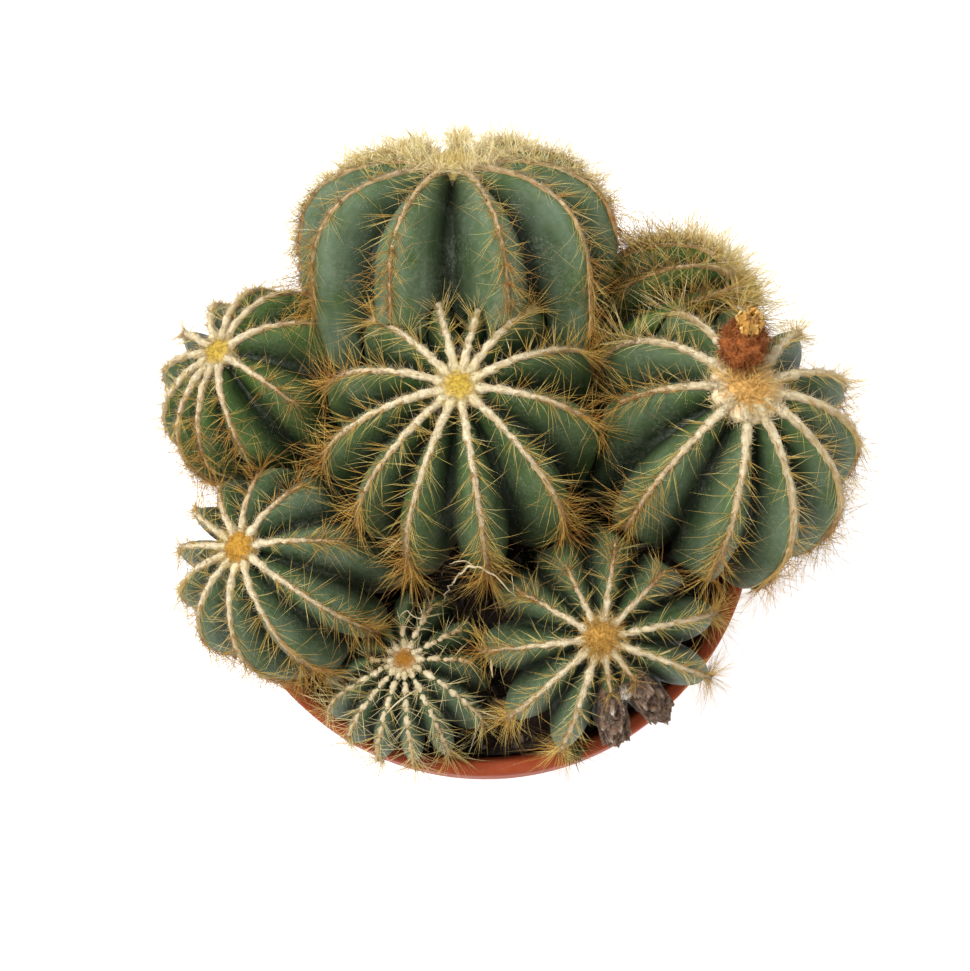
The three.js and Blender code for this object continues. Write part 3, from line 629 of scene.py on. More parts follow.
def ribbon_hairs(head, line, draw):
    """Hairs that leave the ribbon's top and sides, most of them leaning along it."""
    count = int(line.length * HAIRS_PER_MM)
    index = draw.integers(0, len(line.at), count)
    turn = np.radians(draw.uniform(8, 172, count))
    at, tangent, near = line.at[index], line.tangent[index], crest_where(line, lambda values: values[index])
    if head.name == YOUNG_HEAD:
        bead = np.sqrt(bead_wave(head, at))
        half_width, height = PAD_HALF_WIDTH * bead, PAD_HEIGHT * bead - 0.2
    else:
        half_width, height = (size[index] for size in ribbon_size(head, line))
    out = near.normal * (0.25 + np.sin(turn))[:, None] - near.side * np.cos(turn)[:, None]
    ways = unit(out + tangent * draw.uniform(-2.2, 2.2, (count, 1)) + draw.normal(0, 0.3, (count, 3)))
    bases = ribbon_surface(near, half_width * 0.9, height * 0.9, turn)
    bases = bases + tangent * draw.uniform(-0.4, 0.4, (count, 1))
    edge = np.abs(np.cos(turn))
    lengths = draw.uniform(0.5, 1.5, count) * (1 + 0.7 * edge) * np.interp(at, [0, 12], [1.3, 1])
    kept = height > LOWEST_TUFT
    made = bristles(bases[kept], ways[kept], lengths[kept], HAIR_RADIUS)
    return made, np.repeat(at[kept], len(HAIR_SHARES)), np.repeat(edge[kept], len(HAIR_SHARES))


def crown_wool(head, count, inner, outer, longest, draw):
    """Curled locks round the crown, where the ribbons meet and fill the hollows between the ribs."""
    aside = np.sqrt(draw.uniform(inner ** 2, outer ** 2, count))
    polar, bearing = aside / head.rise, draw.uniform(-math.pi, math.pi, count)
    out = aim(head, polar, bearing)
    bases = skin(head, polar, bearing) + out * draw.uniform(0, 0.35 * longest, (count, 1))
    ways = unit(out * draw.uniform(-0.1, 0.5, (count, 1)) + draw.normal(0, 0.8, (count, 3)))
    bends = draw.normal(0, 0.45, (count, 3)) + out * 0.2
    return bristles(bases, ways, draw.uniform(0.35, 1, count) * longest, LOCK_RADIUS, bends)


# %% [markdown]
# ## Spines
# Bristles are slim three-sided tubes with a slight curve. Each areole bears several kinds. Most spread
# sideways over the flanks and droop down the rib, a few stand up from the middle, and short pale ones make
# a fuzz. Where ribs press together, longer and darker ones cross into a thicket. The back of the back head,
# the far head and the right head's far side are shaggy: dense short bristles, or long pale ones, stand on
# them up to the crown. All others are short near a crown, where they are young. A bristle that would run
# into a neighbour is turned aside and more upright, a step at a time.

# %% What a bristle may run into
SKIN_ROOM, NEIGHBOUR_ROOM, BRISTLE_REACH = 0.05, 0.1, 30


def crowded(head, bases, ways, lengths, bends):
    """True for spines that run into their own skin, a neighbour, the pot or the soil."""
    hit = np.zeros(len(bases), bool)
    for t in (0.45, 0.75, 1.0):
        points = bases + (ways * t + bends * t * t) * lengths[:, None]
        hit |= inside(head, points, SKIN_ROOM) | (points[:, 2] < SOIL_Z) | (points[:, 2] < lip_height(points))
        for other in head.others:
            if np.linalg.norm(other.centre - head.centre) < head.radius + other.radius + BRISTLE_REACH:
                hit |= inside(other, points, NEIGHBOUR_ROOM)
    return hit


# %% Kinds of bristle
def kind(count, tilt, droop, length, radius, tone, spread=0.5, curve=0.1, first=0.0, last=1.0, shaggy=0.0,
         straight=False):
    """How one kind of bristle grows: how many at an areole, the angles in degrees that it leans from the
    skin's normal, the mean and spread of its droop, its size and tone, and the part of the crest it is on."""
    return SimpleNamespace(count=count, tilt=tilt, droop=droop, length=length, radius=radius, tone=tone,
                           spread=spread, curve=curve, first=first, last=last, shaggy=shaggy, straight=straight)


KINDS = [  # spreading, upright, fuzz, thicket, dense on shaggy heads, long and pale on shaggy heads
    kind(9, (42, 86), (0.7, 0.45), 10.2, 0.05, 0.24),
    kind(3, (0, 45), (0.3, 0.4), 9.6, 0.055, 0.3),
    kind(5, (25, 95), (0.1, 0.8), 3.4, 0.042, 0.14, spread=1.3, straight=True),
    kind(12, (15, 96), (0.1, 0.9), 10.6, 0.052, 0.5, spread=2.8, curve=0.25, first=0.64),
    kind(42, (0, 84), (0.0, 0.7), 5.0, 0.06, -0.16, spread=2.4, curve=0.2, last=0.8, shaggy=1),
    kind(8, (0, 38), (0.1, 0.25), 12.8, 0.064, 0.0, spread=1.6, curve=0.05, shaggy=0.5),
]
SPINE_TONE = {"middle": 0.05, "back": 0.02, "far": 0.14, "left": 0.06, "lower_left": 0.05, "small": -0.2}
SPINE_REACH = {"small": 1.3, "far": 1.25, "back": 1.15}
print("kinds of bristle:", len(KINDS))

# %% Growth from the areoles
BOX_ROOM = 3.2
BOX_LOW, BOX_HIGH = np.array(cad_low) / MM - BOX_ROOM, np.array(cad_high) / MM + BOX_ROOM
AT, SHARE, SHAGGY = 12, 13, 14  # a spot's last columns, after its point and three directions
TURNS_ASIDE, TURN_UP, TURN_SPREAD, TURN_SHORTER = 6, 0.4, 0.22, 0.96


def areole_spots(head):
    """A row per areole: point, three directions, distance down the crest, share of it, and how shaggy it is.
    The back head is shaggy behind and at its crown, the far head all over, the right head low down behind."""
    rows = []
    for line in head.lines:
        at = np.arange(0.5, line.length / spacing_of(head)) * spacing_of(head)
        index = np.minimum((at / CREST_STEP).round().astype(int), len(line.at) - 1)
        backwards = line.tangent[min(5, len(line.at) - 1), 1]
        shaggy = {"back": 1.0 * ((backwards > -0.05) | (at < 7)), "right": 0.5 * ((backwards > 0.3) & (at > 24)),
                  "far": 1.0 if backwards > 0.5 else 0.5}.get(head.name, 0.0)
        share = at / line.length * (0.75 if head.name == YOUNG_HEAD else 1)
        vectors = [v[index] for v in (line.points, line.tangent, line.side, line.normal)]
        rows.append(np.concatenate([*vectors, np.stack(np.broadcast_arrays(at, share, shaggy), axis=1)], axis=1))
    return np.concatenate(rows)


def grow(head, spots, kind, draw):
    """Bases, ways, lengths, bends and tones of one kind of bristle at a head's areoles."""
    share = spots[:, SHARE]
    spots = spots[(share >= kind.first) & (share <= kind.last) & (spots[:, SHAGGY] >= kind.shaggy)]
    lean = np.repeat(draw.normal(0, 0.25, (len(spots), 3)), kind.count, axis=0)
    spots = np.repeat(spots, kind.count, axis=0)
    grown = np.interp(spots[:, AT], [0, 12], [0.6, 1]) * (0.7 if head.name == YOUNG_HEAD else 1)
    chosen = draw.uniform(size=len(spots)) < grown
    spots, lean = spots[chosen], lean[chosen]
    points, tangent, side, normal = (spots[:, i:i + 3] for i in (0, 3, 6, 9))
    count = len(spots)
    hand = draw.choice([-1.0, 1.0], count)
    tilt = np.radians(draw.uniform(*kind.tilt, count))
    ways = unit(normal * np.cos(tilt)[:, None] + side * (hand * np.sin(tilt))[:, None]
                + tangent * draw.normal(*kind.droop, (count, 1)) + lean)
    grown = 1.0 if kind.shaggy > 0 else np.interp(spots[:, AT], [0, 7, 20, 45], [0.36, 0.62, 1.0, 1.15])
    lengths = kind.length * head.spine * SPINE_REACH.get(head.name, 1.0) * grown * draw.uniform(0.65, 1.25, count)
    aside = hand * draw.uniform(0, 1.6 if kind.shaggy == 1 else 0.5, count)
    bases = (points + normal * 0.3 + side * aside[:, None]
             + tangent * draw.uniform(-kind.spread, kind.spread, (count, 1)))
    bends = draw.normal(0, kind.curve, (count, 3)) - normal * draw.uniform(0, 0.14, (count, 1))
    for _ in range(TURNS_ASIDE):
        hit = crowded(head, bases, ways, lengths, bends)
        ways[hit] = unit(ways[hit] + TURN_UP * normal[hit] + draw.normal(0, TURN_SPREAD, (hit.sum(), 3)))
        lengths[hit] *= TURN_SHORTER
    tips = bases + (ways + bends) * lengths[:, None]
    beyond = np.maximum(tips - BOX_HIGH, BOX_LOW - tips).max(axis=1)
    lengths *= np.clip(1 - 1.2 * np.maximum(beyond, 0) / lengths, 0.2, 1)
    kept = ~crowded(head, bases, ways, lengths, bends)
    tone = kind.tone + SPINE_TONE.get(head.name, 0.0) + 0.26 * spots[:, SHARE] + draw.normal(0, 0.14, count)
    return bases[kept], ways[kept], lengths[kept], bends[kept], np.clip(tone[kept], 0, 1)


def felt_piece(head, name, parts, **looks):
    """One of the pieces that together stand for a head's felt and spines."""
    nodes = [f"{head.name}_felt_and_spines"]
    piece = make_piece(f"{head.name}_{name}", *merged(parts), "felt_and_spines", nodes, **looks)
    print(piece.name, len(piece.data.polygons), "faces")
    return piece


# %% Spines of each head
for number, head in enumerate(HEADS):
    draw = np.random.default_rng(200 + number)
    spots = areole_spots(head)
    parts, looks = [], []
    for each in KINDS:
        bases, ways, lengths, bends, tone = grow(head, spots, each, draw)
        parts.append(bristles(bases, ways, lengths, each.radius, None if each.straight else bends))
        along = HAIR_SHARES if each.straight else BRISTLE_SHARES
        looks.append([np.repeat(tone, len(along)), np.tile(along, len(tone))])
    tone, along = np.concatenate(looks, axis=1)
    head.spine_piece = felt_piece(head, "spines", parts, tone=tone, along=along)

# %% Wool of each head
WOOL_AGE = {"back": 0.4, "far": 0.35, "left": 0.05}
CROWN_LOCKS = {  # how many, from and to where, the longest
    "right": (1300, 5.0, 10.0, 2.6), "small": (120, 2.6, 4.0, 1.2),
}
LOCK_LOOKS = [[0.12], [0.8], [0.5]]  # share, bead and edge
for number, head in enumerate(HEADS):
    draw = np.random.default_rng(100 + number)
    parts, looks = [], []
    older, crown = WOOL_AGE.get(head.name, 0.0), CROWN_RADIUS[head.name]
    for line in head.lines:
        made, at = (pads if head.name == YOUNG_HEAD else ribbon)(head, line)
        edge = np.tile(np.abs(np.cos(RIBBON_TURNS)), len(at) // len(RIBBON_TURNS))
        made_hairs, hair_at, hair_edge = ribbon_hairs(head, line, draw)
        parts += [made, made_hairs]
        at = np.append(at, hair_at)
        looks.append([older + (1 - older) * at / line.length, bead_wave(head, at), np.append(edge, hair_edge)])
    locks = crown_wool(head, *CROWN_LOCKS.get(head.name, (260, crown - 0.4, 1.3 * crown, 1.7)), draw)
    looks.append(np.repeat(LOCK_LOOKS, len(locks[0]), axis=1))
    share, bead, edge = np.concatenate(looks, axis=1)
    head.wool_piece = felt_piece(head, "wool", [*parts, locks], share=share, bead=bead, edge=edge)

# %% [markdown]
# ## Crowns
# A head grows from its crown. There the youngest areoles are packed into a soft golden cushion with the
# first short bristles lying over it. The cushion is a low dome with a rough surface. The bristles are made
# as the spines are: most lean outwards, and some cross the middle. The cushion's size and colour differ
# from head to head, and the right head's has a wider, paler collar.

# %% Crown cushions
CROWNS = {  # dome's height, tone, bristles' length, how flat they lie, how many, how pale the edge is
    "middle": (1.2, 0.2, 2.2, 1.2, 560, 0.6), "back": (2.0, 0.06, 3.8, 0.7, 700, 0.3),
    "right": (2.2, 0.38, 7.5, 1.5, 620, 0.2), "far": (2.0, 0.1, 6.0, 0.5, 400, 0.2),
    "left": (1.3, 0.21, 2.6, 1.2, 420, 0.5), "lower_left": (1.3, 0.64, 2.4, 1.3, 480, 0.3),
    "small": (0.8, 0.93, 1.7, 1.4, 300, 0.6), "lower_right": (1.7, 0.55, 5.6, 2.4, 520, 0.1),
}
COLLARS = {"right": (8.8, 1.5)}  # radius and height
DOME_TURNS = full_turn(40)
DOME_SHARES = np.array([1.0, 1.0, 0.93, 0.8, 0.64, 0.46, 0.28, 0.12])
CROWN_LIFT, CROWN_SINK = 0.6, 0.9


def crown_dome(head, radius, height, seed):
    """A dome on the crown: rings of shrinking radius, each higher by what a flat ellipse rises."""
    heights = np.sqrt(1 - DOME_SHARES ** 2) * height + CROWN_LIFT
    heights[0] = -CROWN_SINK
    flat = swing(DOME_TURNS, head.across, head.along)
    top = skin(head, np.array(0.0), np.array(0.0))
    rings = top + flat * radius * DOME_SHARES[:, None, None] + head.axis * heights[:, None, None]
    rough = (0.1 * wobble(rings, 1.9, seed) + 0.05 * wobble(rings, 0.7, seed + 1)) * height
    rings = rings + head.axis * rough[..., None] + flat * (rough + 0.3 * wobble(rings, 1.4, seed + 2))[..., None]
    return tubes(rings[None]), top, np.repeat(DOME_SHARES, len(DOME_TURNS))


for number, head in enumerate(HEADS):
    draw = np.random.default_rng(300 + number)
    radius, (height, tone, longest, flatness, count, pale) = CROWN_RADIUS[head.name], CROWNS[head.name]
    dome, top, rims = crown_dome(head, radius, height, 60 + number)
    flat = swing(draw.uniform(0, math.tau, count), head.across, head.along)
    from_middle = np.sqrt(draw.uniform(0, 1, count)) * 0.99
    lift = np.sqrt(1 - from_middle ** 2) * height + CROWN_LIFT - 0.2
    bases = top + flat * (from_middle * radius)[:, None] + head.axis * lift[:, None]
    ways = (flat * draw.uniform(-0.7, 1, (count, 1)) + draw.normal(0, 0.45, (count, 3))) * flatness
    ways = unit(ways + head.axis * (0.5 - dot(ways, head.axis)[:, None] * 0.6))
    lengths = draw.uniform(0.4, 1, count) * longest
    bends = draw.normal(0, 0.05 * longest, (count, 3)) - head.axis * draw.uniform(0, 0.3, (count, 1))
    parts = [dome, bristles(bases, ways, lengths, 0.04 + 0.007 * longest, bends)]
    uneven = np.repeat(draw.normal(0, 0.04, count), len(BRISTLE_SHARES))
    tones = tone + np.append(0 * rims, uneven)
    rims = np.append(rims, np.repeat(from_middle, len(BRISTLE_SHARES))) * pale
    if head.name in COLLARS:
        collar, _, around = crown_dome(head, *COLLARS[head.name], 90)
        parts.append(collar)
        tones, rims = np.append(tones, 0 * around), np.append(rims, 0 * around + 1)
    head.crown_piece = felt_piece(head, "crown", parts, tone=np.clip(tones, 0, 1), rim=rims)
print("crown cushions:", len(HEADS))

# %% [markdown]
# ## Pot
# The pot is moulded plastic: a tapered wall, a foot, and a rolled lip with a skirt that hangs clear of the
# wall. Its outline is a few corners joined by straight lines, each corner rounded with a small curve, and
# the outline is turned about the pot's axis. The drain holes are cut through the floor afterwards.

# %% Rounded outline, turned about the axis
POT_CORNERS = 144
INNER_RADIUS, FLOOR, SKIRT_Z = 46.4, 3.2, 89.0
DRAIN_HOLES, DRAIN_RADIUS, DRAIN_CIRCLE, DRAIN_TURN = 5, 3.6, 31.0, 0.3
POT_OUTLINE = [  # radius, height, rounding
    [0.4, 0.0, 0], [46.5, 0.0, 1], [49.0, 1.6, 1.4], [66.4, SKIRT_Z, 0.8], [68.7, SKIRT_Z + 0.5, 0.7],
    [69.6, RIM_Z - 1.2, 0.76], [68.6, RIM_Z, 0.76], [66.3, RIM_Z, 0.86], [65.4, RIM_Z - 1.6, 0.9],
    [INNER_RADIUS, FLOOR, 2.5], [0.4, FLOOR, 0],
]


def rounded(outline, steps=5):
    """The outline with each corner replaced by a curve that starts and ends its rounding away from it."""
    corners = np.array(outline)
    points = [corners[:1, :2]]
    for before, here, after in zip(corners, corners[1:], corners[2:]):
        start = here[:2] + unit(before[:2] - here[:2]) * here[2]
        end = here[:2] + unit(after[:2] - here[:2]) * here[2]
        t = np.linspace(0, 1, steps)[:, None]
        points.append((1 - t) ** 2 * start + 2 * t * (1 - t) * here[:2] + t ** 2 * end)
    return np.concatenate([*points, corners[-1:, :2]])


def turned(outline, corners):
    """The outline carried round Z, as sections that run along the outline from its first point."""
    return outline[:, None, :1] * swing(full_turn(corners), X, -Y) + Z * outline[:, None, 1:]


def split_long(outline, longest, edge=0.15):
    """More points on long stretches, and one close to each end of them, so that flat walls shade flat."""
    rows = [outline[:1]]
    for a, b in zip(outline, outline[1:]):
        length = np.linalg.norm(b - a)
        steps = np.linspace(0, 1, max(1, math.ceil(length / longest)) + 1)
        if length > 4 * edge:
            steps = np.sort(np.append(steps, [edge / length, 1 - edge / length]))
        rows.append(a + (b - a) * steps[1:, None])
    return np.concatenate(rows)


pot_outline = split_long(rounded(POT_OUTLINE), 20.0)
pot = make_piece("cactus_pot", *tubes(turned(pot_outline[::-1], POT_CORNERS)[None]), "pot_plastic", ["pot"])
print("pot points:", len(pot.data.vertices))

# %% Drain holes through the floor
middles = swing(full_turn(DRAIN_HOLES) + DRAIN_TURN, X, Y) * DRAIN_CIRCLE
ends = np.array([-2.0, FLOOR + 2])[:, None, None] * Z
cutters = middles[:, None, None] + swing(full_turn(24), X, Y) * DRAIN_RADIUS + ends
cut_away(pot, make_piece("drain_cutter", *tubes(cutters), "pot_plastic"))
print("pot with", DRAIN_HOLES, "holes:", len(pot.data.polygons), "faces")

# %% [markdown]
# ## Soil and grit
# Dark soil shows in a few gaps between the heads and all round under them. Its top is a flat mound with
# crumbs: noise of three sizes added to the height. Loose grit and bark bits, a dozen faces each, are
# scattered on it, and a seeded draw places them so that every run gives the same soil.

# %% Soil
SOIL_CORNERS, MOUND_RINGS, MOUND_FALL = 180, 72, 1.2


def soil_inner(z):
    """The pot's inside radius at a height, less the fitting gap."""
    return INNER_RADIUS + (LIP_INNER_RADIUS - INNER_RADIUS) * (z - FLOOR) / (RIM_Z - FLOOR) - FIT


low, high = FLOOR + FIT, SOIL_Z - 1.5
edge = [[r, low] for r in (0.5, 20, soil_inner(low))] + [[soil_inner(z), z] for z in (30, 60, high)]
mound = [[r, SOIL_Z - MOUND_FALL * (r / 63) ** 4] for r in np.linspace(soil_inner(high) - 0.6, 0.6, MOUND_RINGS)]
soil_rings = turned(np.array(edge + mound)[::-1], SOIL_CORNERS)
crumbs = 0.55 * wobble(soil_rings, 9, 71) + 0.4 * wobble(soil_rings, 3.4, 72) + 0.22 * wobble(soil_rings, 1.6, 73)
soil_rings[:len(mound), :, 2] += crumbs[:len(mound)] - 0.4
soil = make_piece("potting_soil", *tubes(soil_rings[None]), "soil", ["soil"])
print("soil faces:", len(soil.data.polygons))

# %% Grit and bark on the soil
GRIT_COUNT = 900
PEBBLE_RINGS = [(0.6, -0.5), (1.0, 0.0), (0.62, 0.5)]  # radius, height
PEBBLE_POINTS = 5 * len(PEBBLE_RINGS)


def pebbles(places, sizes, draw):
    """Rough little stones: three rings of five corners each, squashed and turned at random."""
    count = len(places)
    shape = np.stack([swing(full_turn(5), X, Y) * r + Z * z for r, z in PEBBLE_RINGS])
    shape = shape * draw.uniform(0.6, 1.3, (count, 3, 5, 1))
    shape = shape * draw.uniform([0.7, 0.5, 0.4], [1.5, 1, 0.9], (count, 1, 1, 3))
    first = unit(draw.normal(size=(count, 3)))
    second = unit(np.cross(first, draw.normal(size=(count, 3))))
    basis = np.stack([first, second, np.cross(first, second)], axis=1)
    return tubes(np.einsum("nrci,nij->nrcj", shape, basis) * sizes[:, None, None, None] + places[:, None, None])


draw = np.random.default_rng(400)
turn, far_out = draw.uniform(0, math.tau, GRIT_COUNT), np.sqrt(draw.uniform(0, 1, GRIT_COUNT)) * 61.5
places = swing(turn, X, Y) * far_out[:, None] + Z * (SOIL_Z + 0.3)
stones = pebbles(places, draw.uniform(0.5, 1.7, GRIT_COUNT), draw)
tone = np.repeat(draw.uniform(0, 1, GRIT_COUNT), PEBBLE_POINTS)
grit = make_piece("soil_grit", *stones, "soil", tone=tone)
print("grit bits:", GRIT_COUNT)

# %% [markdown]
# ## Fruit and withered flower
# A dried fruit stands at the edge of the right head's crown. It is a small barrel, wrapped in red-brown
# wool, and the flower's remains sit on top as a crumpled golden tuft. The barrel is turned on a leaning
# axis and roughened. The tuft is a bundle of flattened strips, each curling inwards by its own amount.

# %% Fruit
FRUIT_RADIUS, FRUIT_LENGTH = 5.3, 10.6
FRUIT_HAIRS = 2200
right = by_name["right"]
fruit_axis = aim(right, np.radians(14.0), np.radians(100.0))
fruit_seat = skin(right, np.array(math.radians(12)), np.array(math.radians(115))) + fruit_axis * 2.5
fruit_side = unit(np.cross(X, fruit_axis))
fruit_other = np.cross(fruit_axis, fruit_side)


def around_fruit(turn, radius, height):
    """Points round the fruit's axis."""
    return fruit_seat + swing(turn, fruit_side, fruit_other) * radius[..., None] + fruit_axis * height[..., None]


rows = np.linspace(0, 1, 26)
outline = np.interp(rows, [0, 0.06, 0.2, 0.48, 0.78, 0.93, 1], [0.3, 0.6, 0.84, 1, 0.88, 0.66, 0.42])
rings = around_fruit(full_turn(48)[None], outline[:, None] * FRUIT_RADIUS, rows[:, None] * FRUIT_LENGTH)
bulge = unit(rings - (fruit_seat + fruit_axis * rows[:, None, None] * FRUIT_LENGTH))
rings = rings + bulge * (0.34 * wobble(rings, 3.3, 81) + 0.16 * wobble(rings, 1.3, 82))[..., None]
draw = np.random.default_rng(500)
turn, row = draw.uniform(0, math.tau, FRUIT_HAIRS), draw.uniform(0.02, 1, FRUIT_HAIRS)
bases = around_fruit(turn, np.interp(row, rows, outline) * FRUIT_RADIUS * 0.95, row * FRUIT_LENGTH)
out = unit(bases - fruit_seat - fruit_axis * (row * FRUIT_LENGTH)[:, None])
ways = out * draw.uniform(0.05, 0.5, (FRUIT_HAIRS, 1)) + fruit_axis * draw.uniform(-0.4, 1, (FRUIT_HAIRS, 1))
ways = unit(ways + draw.normal(0, 0.4, (FRUIT_HAIRS, 3)))
bends = draw.normal(0, 0.3, (FRUIT_HAIRS, 3)) - out * 0.25
wool = bristles(bases, ways, draw.uniform(1.4, 3.6, FRUIT_HAIRS), 0.085, bends)
tone = np.repeat(draw.uniform(0, 1, FRUIT_HAIRS), len(BRISTLE_SHARES))
tone = np.append(np.full(rings.size // 3, 0.4), tone)
fruit = make_piece("dried_fruit", *merged([tubes(rings[None]), wool]), "fruit_skin", ["fruit"], tone=tone)
print("fruit faces:", len(fruit.data.polygons))

# %% Withered flower
FLOWER_RADIUS, FLOWER_LENGTH = 3.4, 5.2
PETALS = 38
PETAL_THICK, PETAL_CUP = 0.16, 0.35
draw = np.random.default_rng(510)
turn = draw.uniform(0, math.tau, PETALS)
rows = np.linspace(0, 1, 9)
start = draw.uniform(0.1, 0.75, (PETALS, 1)) * FLOWER_RADIUS
flare = draw.uniform(-0.1, 0.42, (PETALS, 1)) * FLOWER_RADIUS
curl = draw.uniform(0.2, 1.6, (PETALS, 1))
radius = start + flare * np.sin(rows * math.pi * 0.8) - start * 0.5 * rows ** 3 * curl
rise = draw.uniform(0.55, 1, (PETALS, 1)) * np.sin(rows * math.pi * 0.5 * np.minimum(curl, 1.2))
twist = turn[:, None] + rows * draw.normal(0, 0.6, (PETALS, 1))
middle_line = around_fruit(twist, radius, FRUIT_LENGTH - 0.4 + FLOWER_LENGTH * rise)
tangent = unit(np.gradient(middle_line, axis=1))
away = middle_line - fruit_seat
wide = unit(np.cross(tangent, unit(away - fruit_axis * (away @ fruit_axis)[..., None])))[:, :, None]
thin = np.cross(wide, tangent[:, :, None])
half = 0.95 * np.interp(rows, [0, 0.4, 0.8, 1], [0.6, 1, 0.9, 0.35]) * draw.uniform(0.6, 1.2, (PETALS, 1))
half, turns = half[..., None], full_turn(8)
lift = np.sin(turns) * PETAL_THICK + PETAL_CUP * np.cos(turns) ** 2 * half
petal = middle_line[:, :, None] - wide * (np.cos(turns) * half)[..., None] + thin * lift[..., None]
petal = petal + (0.34 * wobble(petal, 1.5, 83) + 0.16 * wobble(petal, 0.8, 84))[..., None] * thin
tone = np.repeat(draw.uniform(0, 1, PETALS), len(rows) * len(turns))
flower = make_piece("withered_petals", *tubes(petal), "withered_petals", ["withered_flower"], tone=tone)
print("petals:", PETALS)

# %% [markdown]
# ## Cork
# Two ribs of the lower right head have a thick crust of grey-brown cork where the skin was hurt and healed.
# The crust follows the rib from flank to flank. It is built up of flakes that overlap down the rib, with
# deep splits between its plates, and the edge thins to nothing. A crumbly pale scab lies between the two.

# %% Cork crusts
CORK_RIBS = [8, 9]
CORK_FROM, CORK_TO = 31.0, 98.0
CORK_SPREAD = 0.88
CORK_ROWS, CORK_COLUMNS = 96, 56
SIDE_SLOPE, TOP_SLOPE, FOOT_SLOPE = 3.2, 9, 5
PLATE_STEPS, FLAKES = 1.8, 8
CORK_SINK, CORK_FULL_HEIGHT = 0.9, 3.4


def cork_crust(head, rib, seed):
    """A lumpy slab over a rib: an outer sheet that stands off the skin and an inner sheet sunk in it. Noise
    rounded to even steps breaks it into plates, and a saw-tooth down the rib lays flakes over each other."""
    here = head.ribs[rib]
    after = (head.ribs[(rib + 1) % len(head.ribs)] - here) % 360
    before = (here - head.ribs[rib - 1]) % 360
    polar = np.radians(np.linspace(CORK_FROM, CORK_TO, CORK_ROWS))[:, None]
    across = np.linspace(CORK_SPREAD, -CORK_SPREAD, CORK_COLUMNS)[None, :]
    bearing = np.radians(here + np.where(across > 0, across * after, across * before) * 0.5)
    surface = skin(head, polar, bearing)
    way = unit(surface - head.centre)
    down = np.linspace(0, 1, CORK_ROWS)[:, None]
    edge = np.clip(SIDE_SLOPE * (1 - np.abs(across) / CORK_SPREAD), 0, 1)
    edge = edge * np.clip(TOP_SLOPE * down, 0, 1) * np.clip(FOOT_SLOPE * (1 - down), 0, 1)
    edge = np.clip(edge * (0.95 + 0.45 * wobble(surface, 3.2, seed + 3)), 0, 1)
    ridged = 1 - np.abs(wobble(surface, 5.5, seed))
    plates = np.round(PLATE_STEPS * wobble(surface, 3.4, seed + 4)) / PLATE_STEPS
    layers = (FLAKES * down + 0.9 * wobble(surface, 6.0, seed + 5)) % 1.0
    lumps = 1.2 + 0.9 * ridged + 0.8 * plates + 0.9 * layers + 0.4 * wobble(surface, 1.2, seed + 2)
    thick = edge * np.maximum(lumps, 0.3) - 0.5 * (1 - edge)
    outer = surface + way * thick[..., None]
    inner = (surface - way * CORK_SINK)[:, ::-1]
    return np.concatenate([outer, inner], axis=1), np.concatenate([thick, 0 * thick], axis=1)


def outward(points, faces):
    """The same faces, turned to face out if the volume they close comes out negative."""
    a, b, c, d = (points[faces[0][:, i]] for i in range(4))
    volume = dot(a, np.cross(b, c)).sum() + dot(a, np.cross(c, d)).sum()
    return points, faces if volume > 0 else [f[:, ::-1] for f in faces]


SCAB_PLACE, SCAB_CRUMBS = [33.5, -54.4, 139.2], 46
crusts = []
for number, rib in enumerate(CORK_RIBS):
    rings, thick = cork_crust(by_name["lower_right"], rib, 90 + 10 * number)
    # The crust's thickness is painted on, so that its finish darkens the thin splits and edge as painted shade.
    parts, heights = [outward(*tubes(rings[None]))], [thick.ravel() / CORK_FULL_HEIGHT]
    if number == 0:
        draw = np.random.default_rng(97)
        places = SCAB_PLACE + draw.normal(0, 1, (SCAB_CRUMBS, 3)) * [0.85, 0.75, 0.6]
        parts.append(pebbles(places, draw.uniform(0.45, 1.0, SCAB_CRUMBS), draw))
        heights.append(np.repeat(draw.uniform(1.25, 2, SCAB_CRUMBS), PEBBLE_POINTS))
    crusts.append(make_piece(f"cork_{number + 1}", *merged(parts), "cork", [f"cork_crust_{number + 1}"],
                             height=np.concatenate(heights)))
    print(crusts[-1].name, len(crusts[-1].data.polygons), "faces")

# %% [markdown]
# ## Small finds
# A plant like this catches things: curls of pale dry fibre, bits of straw and a scrap of moss at the rim.
# Fibres and straws are thin tubes along curves, and lie where the real ones lie. The moss is a tuft of bent
# bristles.

# %% Curls and straws
def thread(path, radius):
    """A tube along a curve of points, thinner at both ends."""
    tangent = unit(np.gradient(path, axis=0))
    side = unit(np.cross(tangent, [0.3, 0.2, 1.0]))
    width = radius * np.sin(np.linspace(0.25, math.pi - 0.25, len(path)))
    ring = swing(full_turn(6), side[:, None], np.cross(tangent, side)[:, None]) * width[:, None, None]
    return tubes((path[:, None] + ring)[None])


def smooth_path(knots, count=40):
    """A curve through the knots: straight interpolation, then averaged with its neighbours eight times."""
    knots = np.array(knots, float)
    path = resample(knots, np.arange(len(knots)), np.linspace(0, len(knots) - 1, count))
    for _ in range(8):
        path[1:-1] = (path[:-2] + 2 * path[1:-1] + path[2:]) / 4
    return path


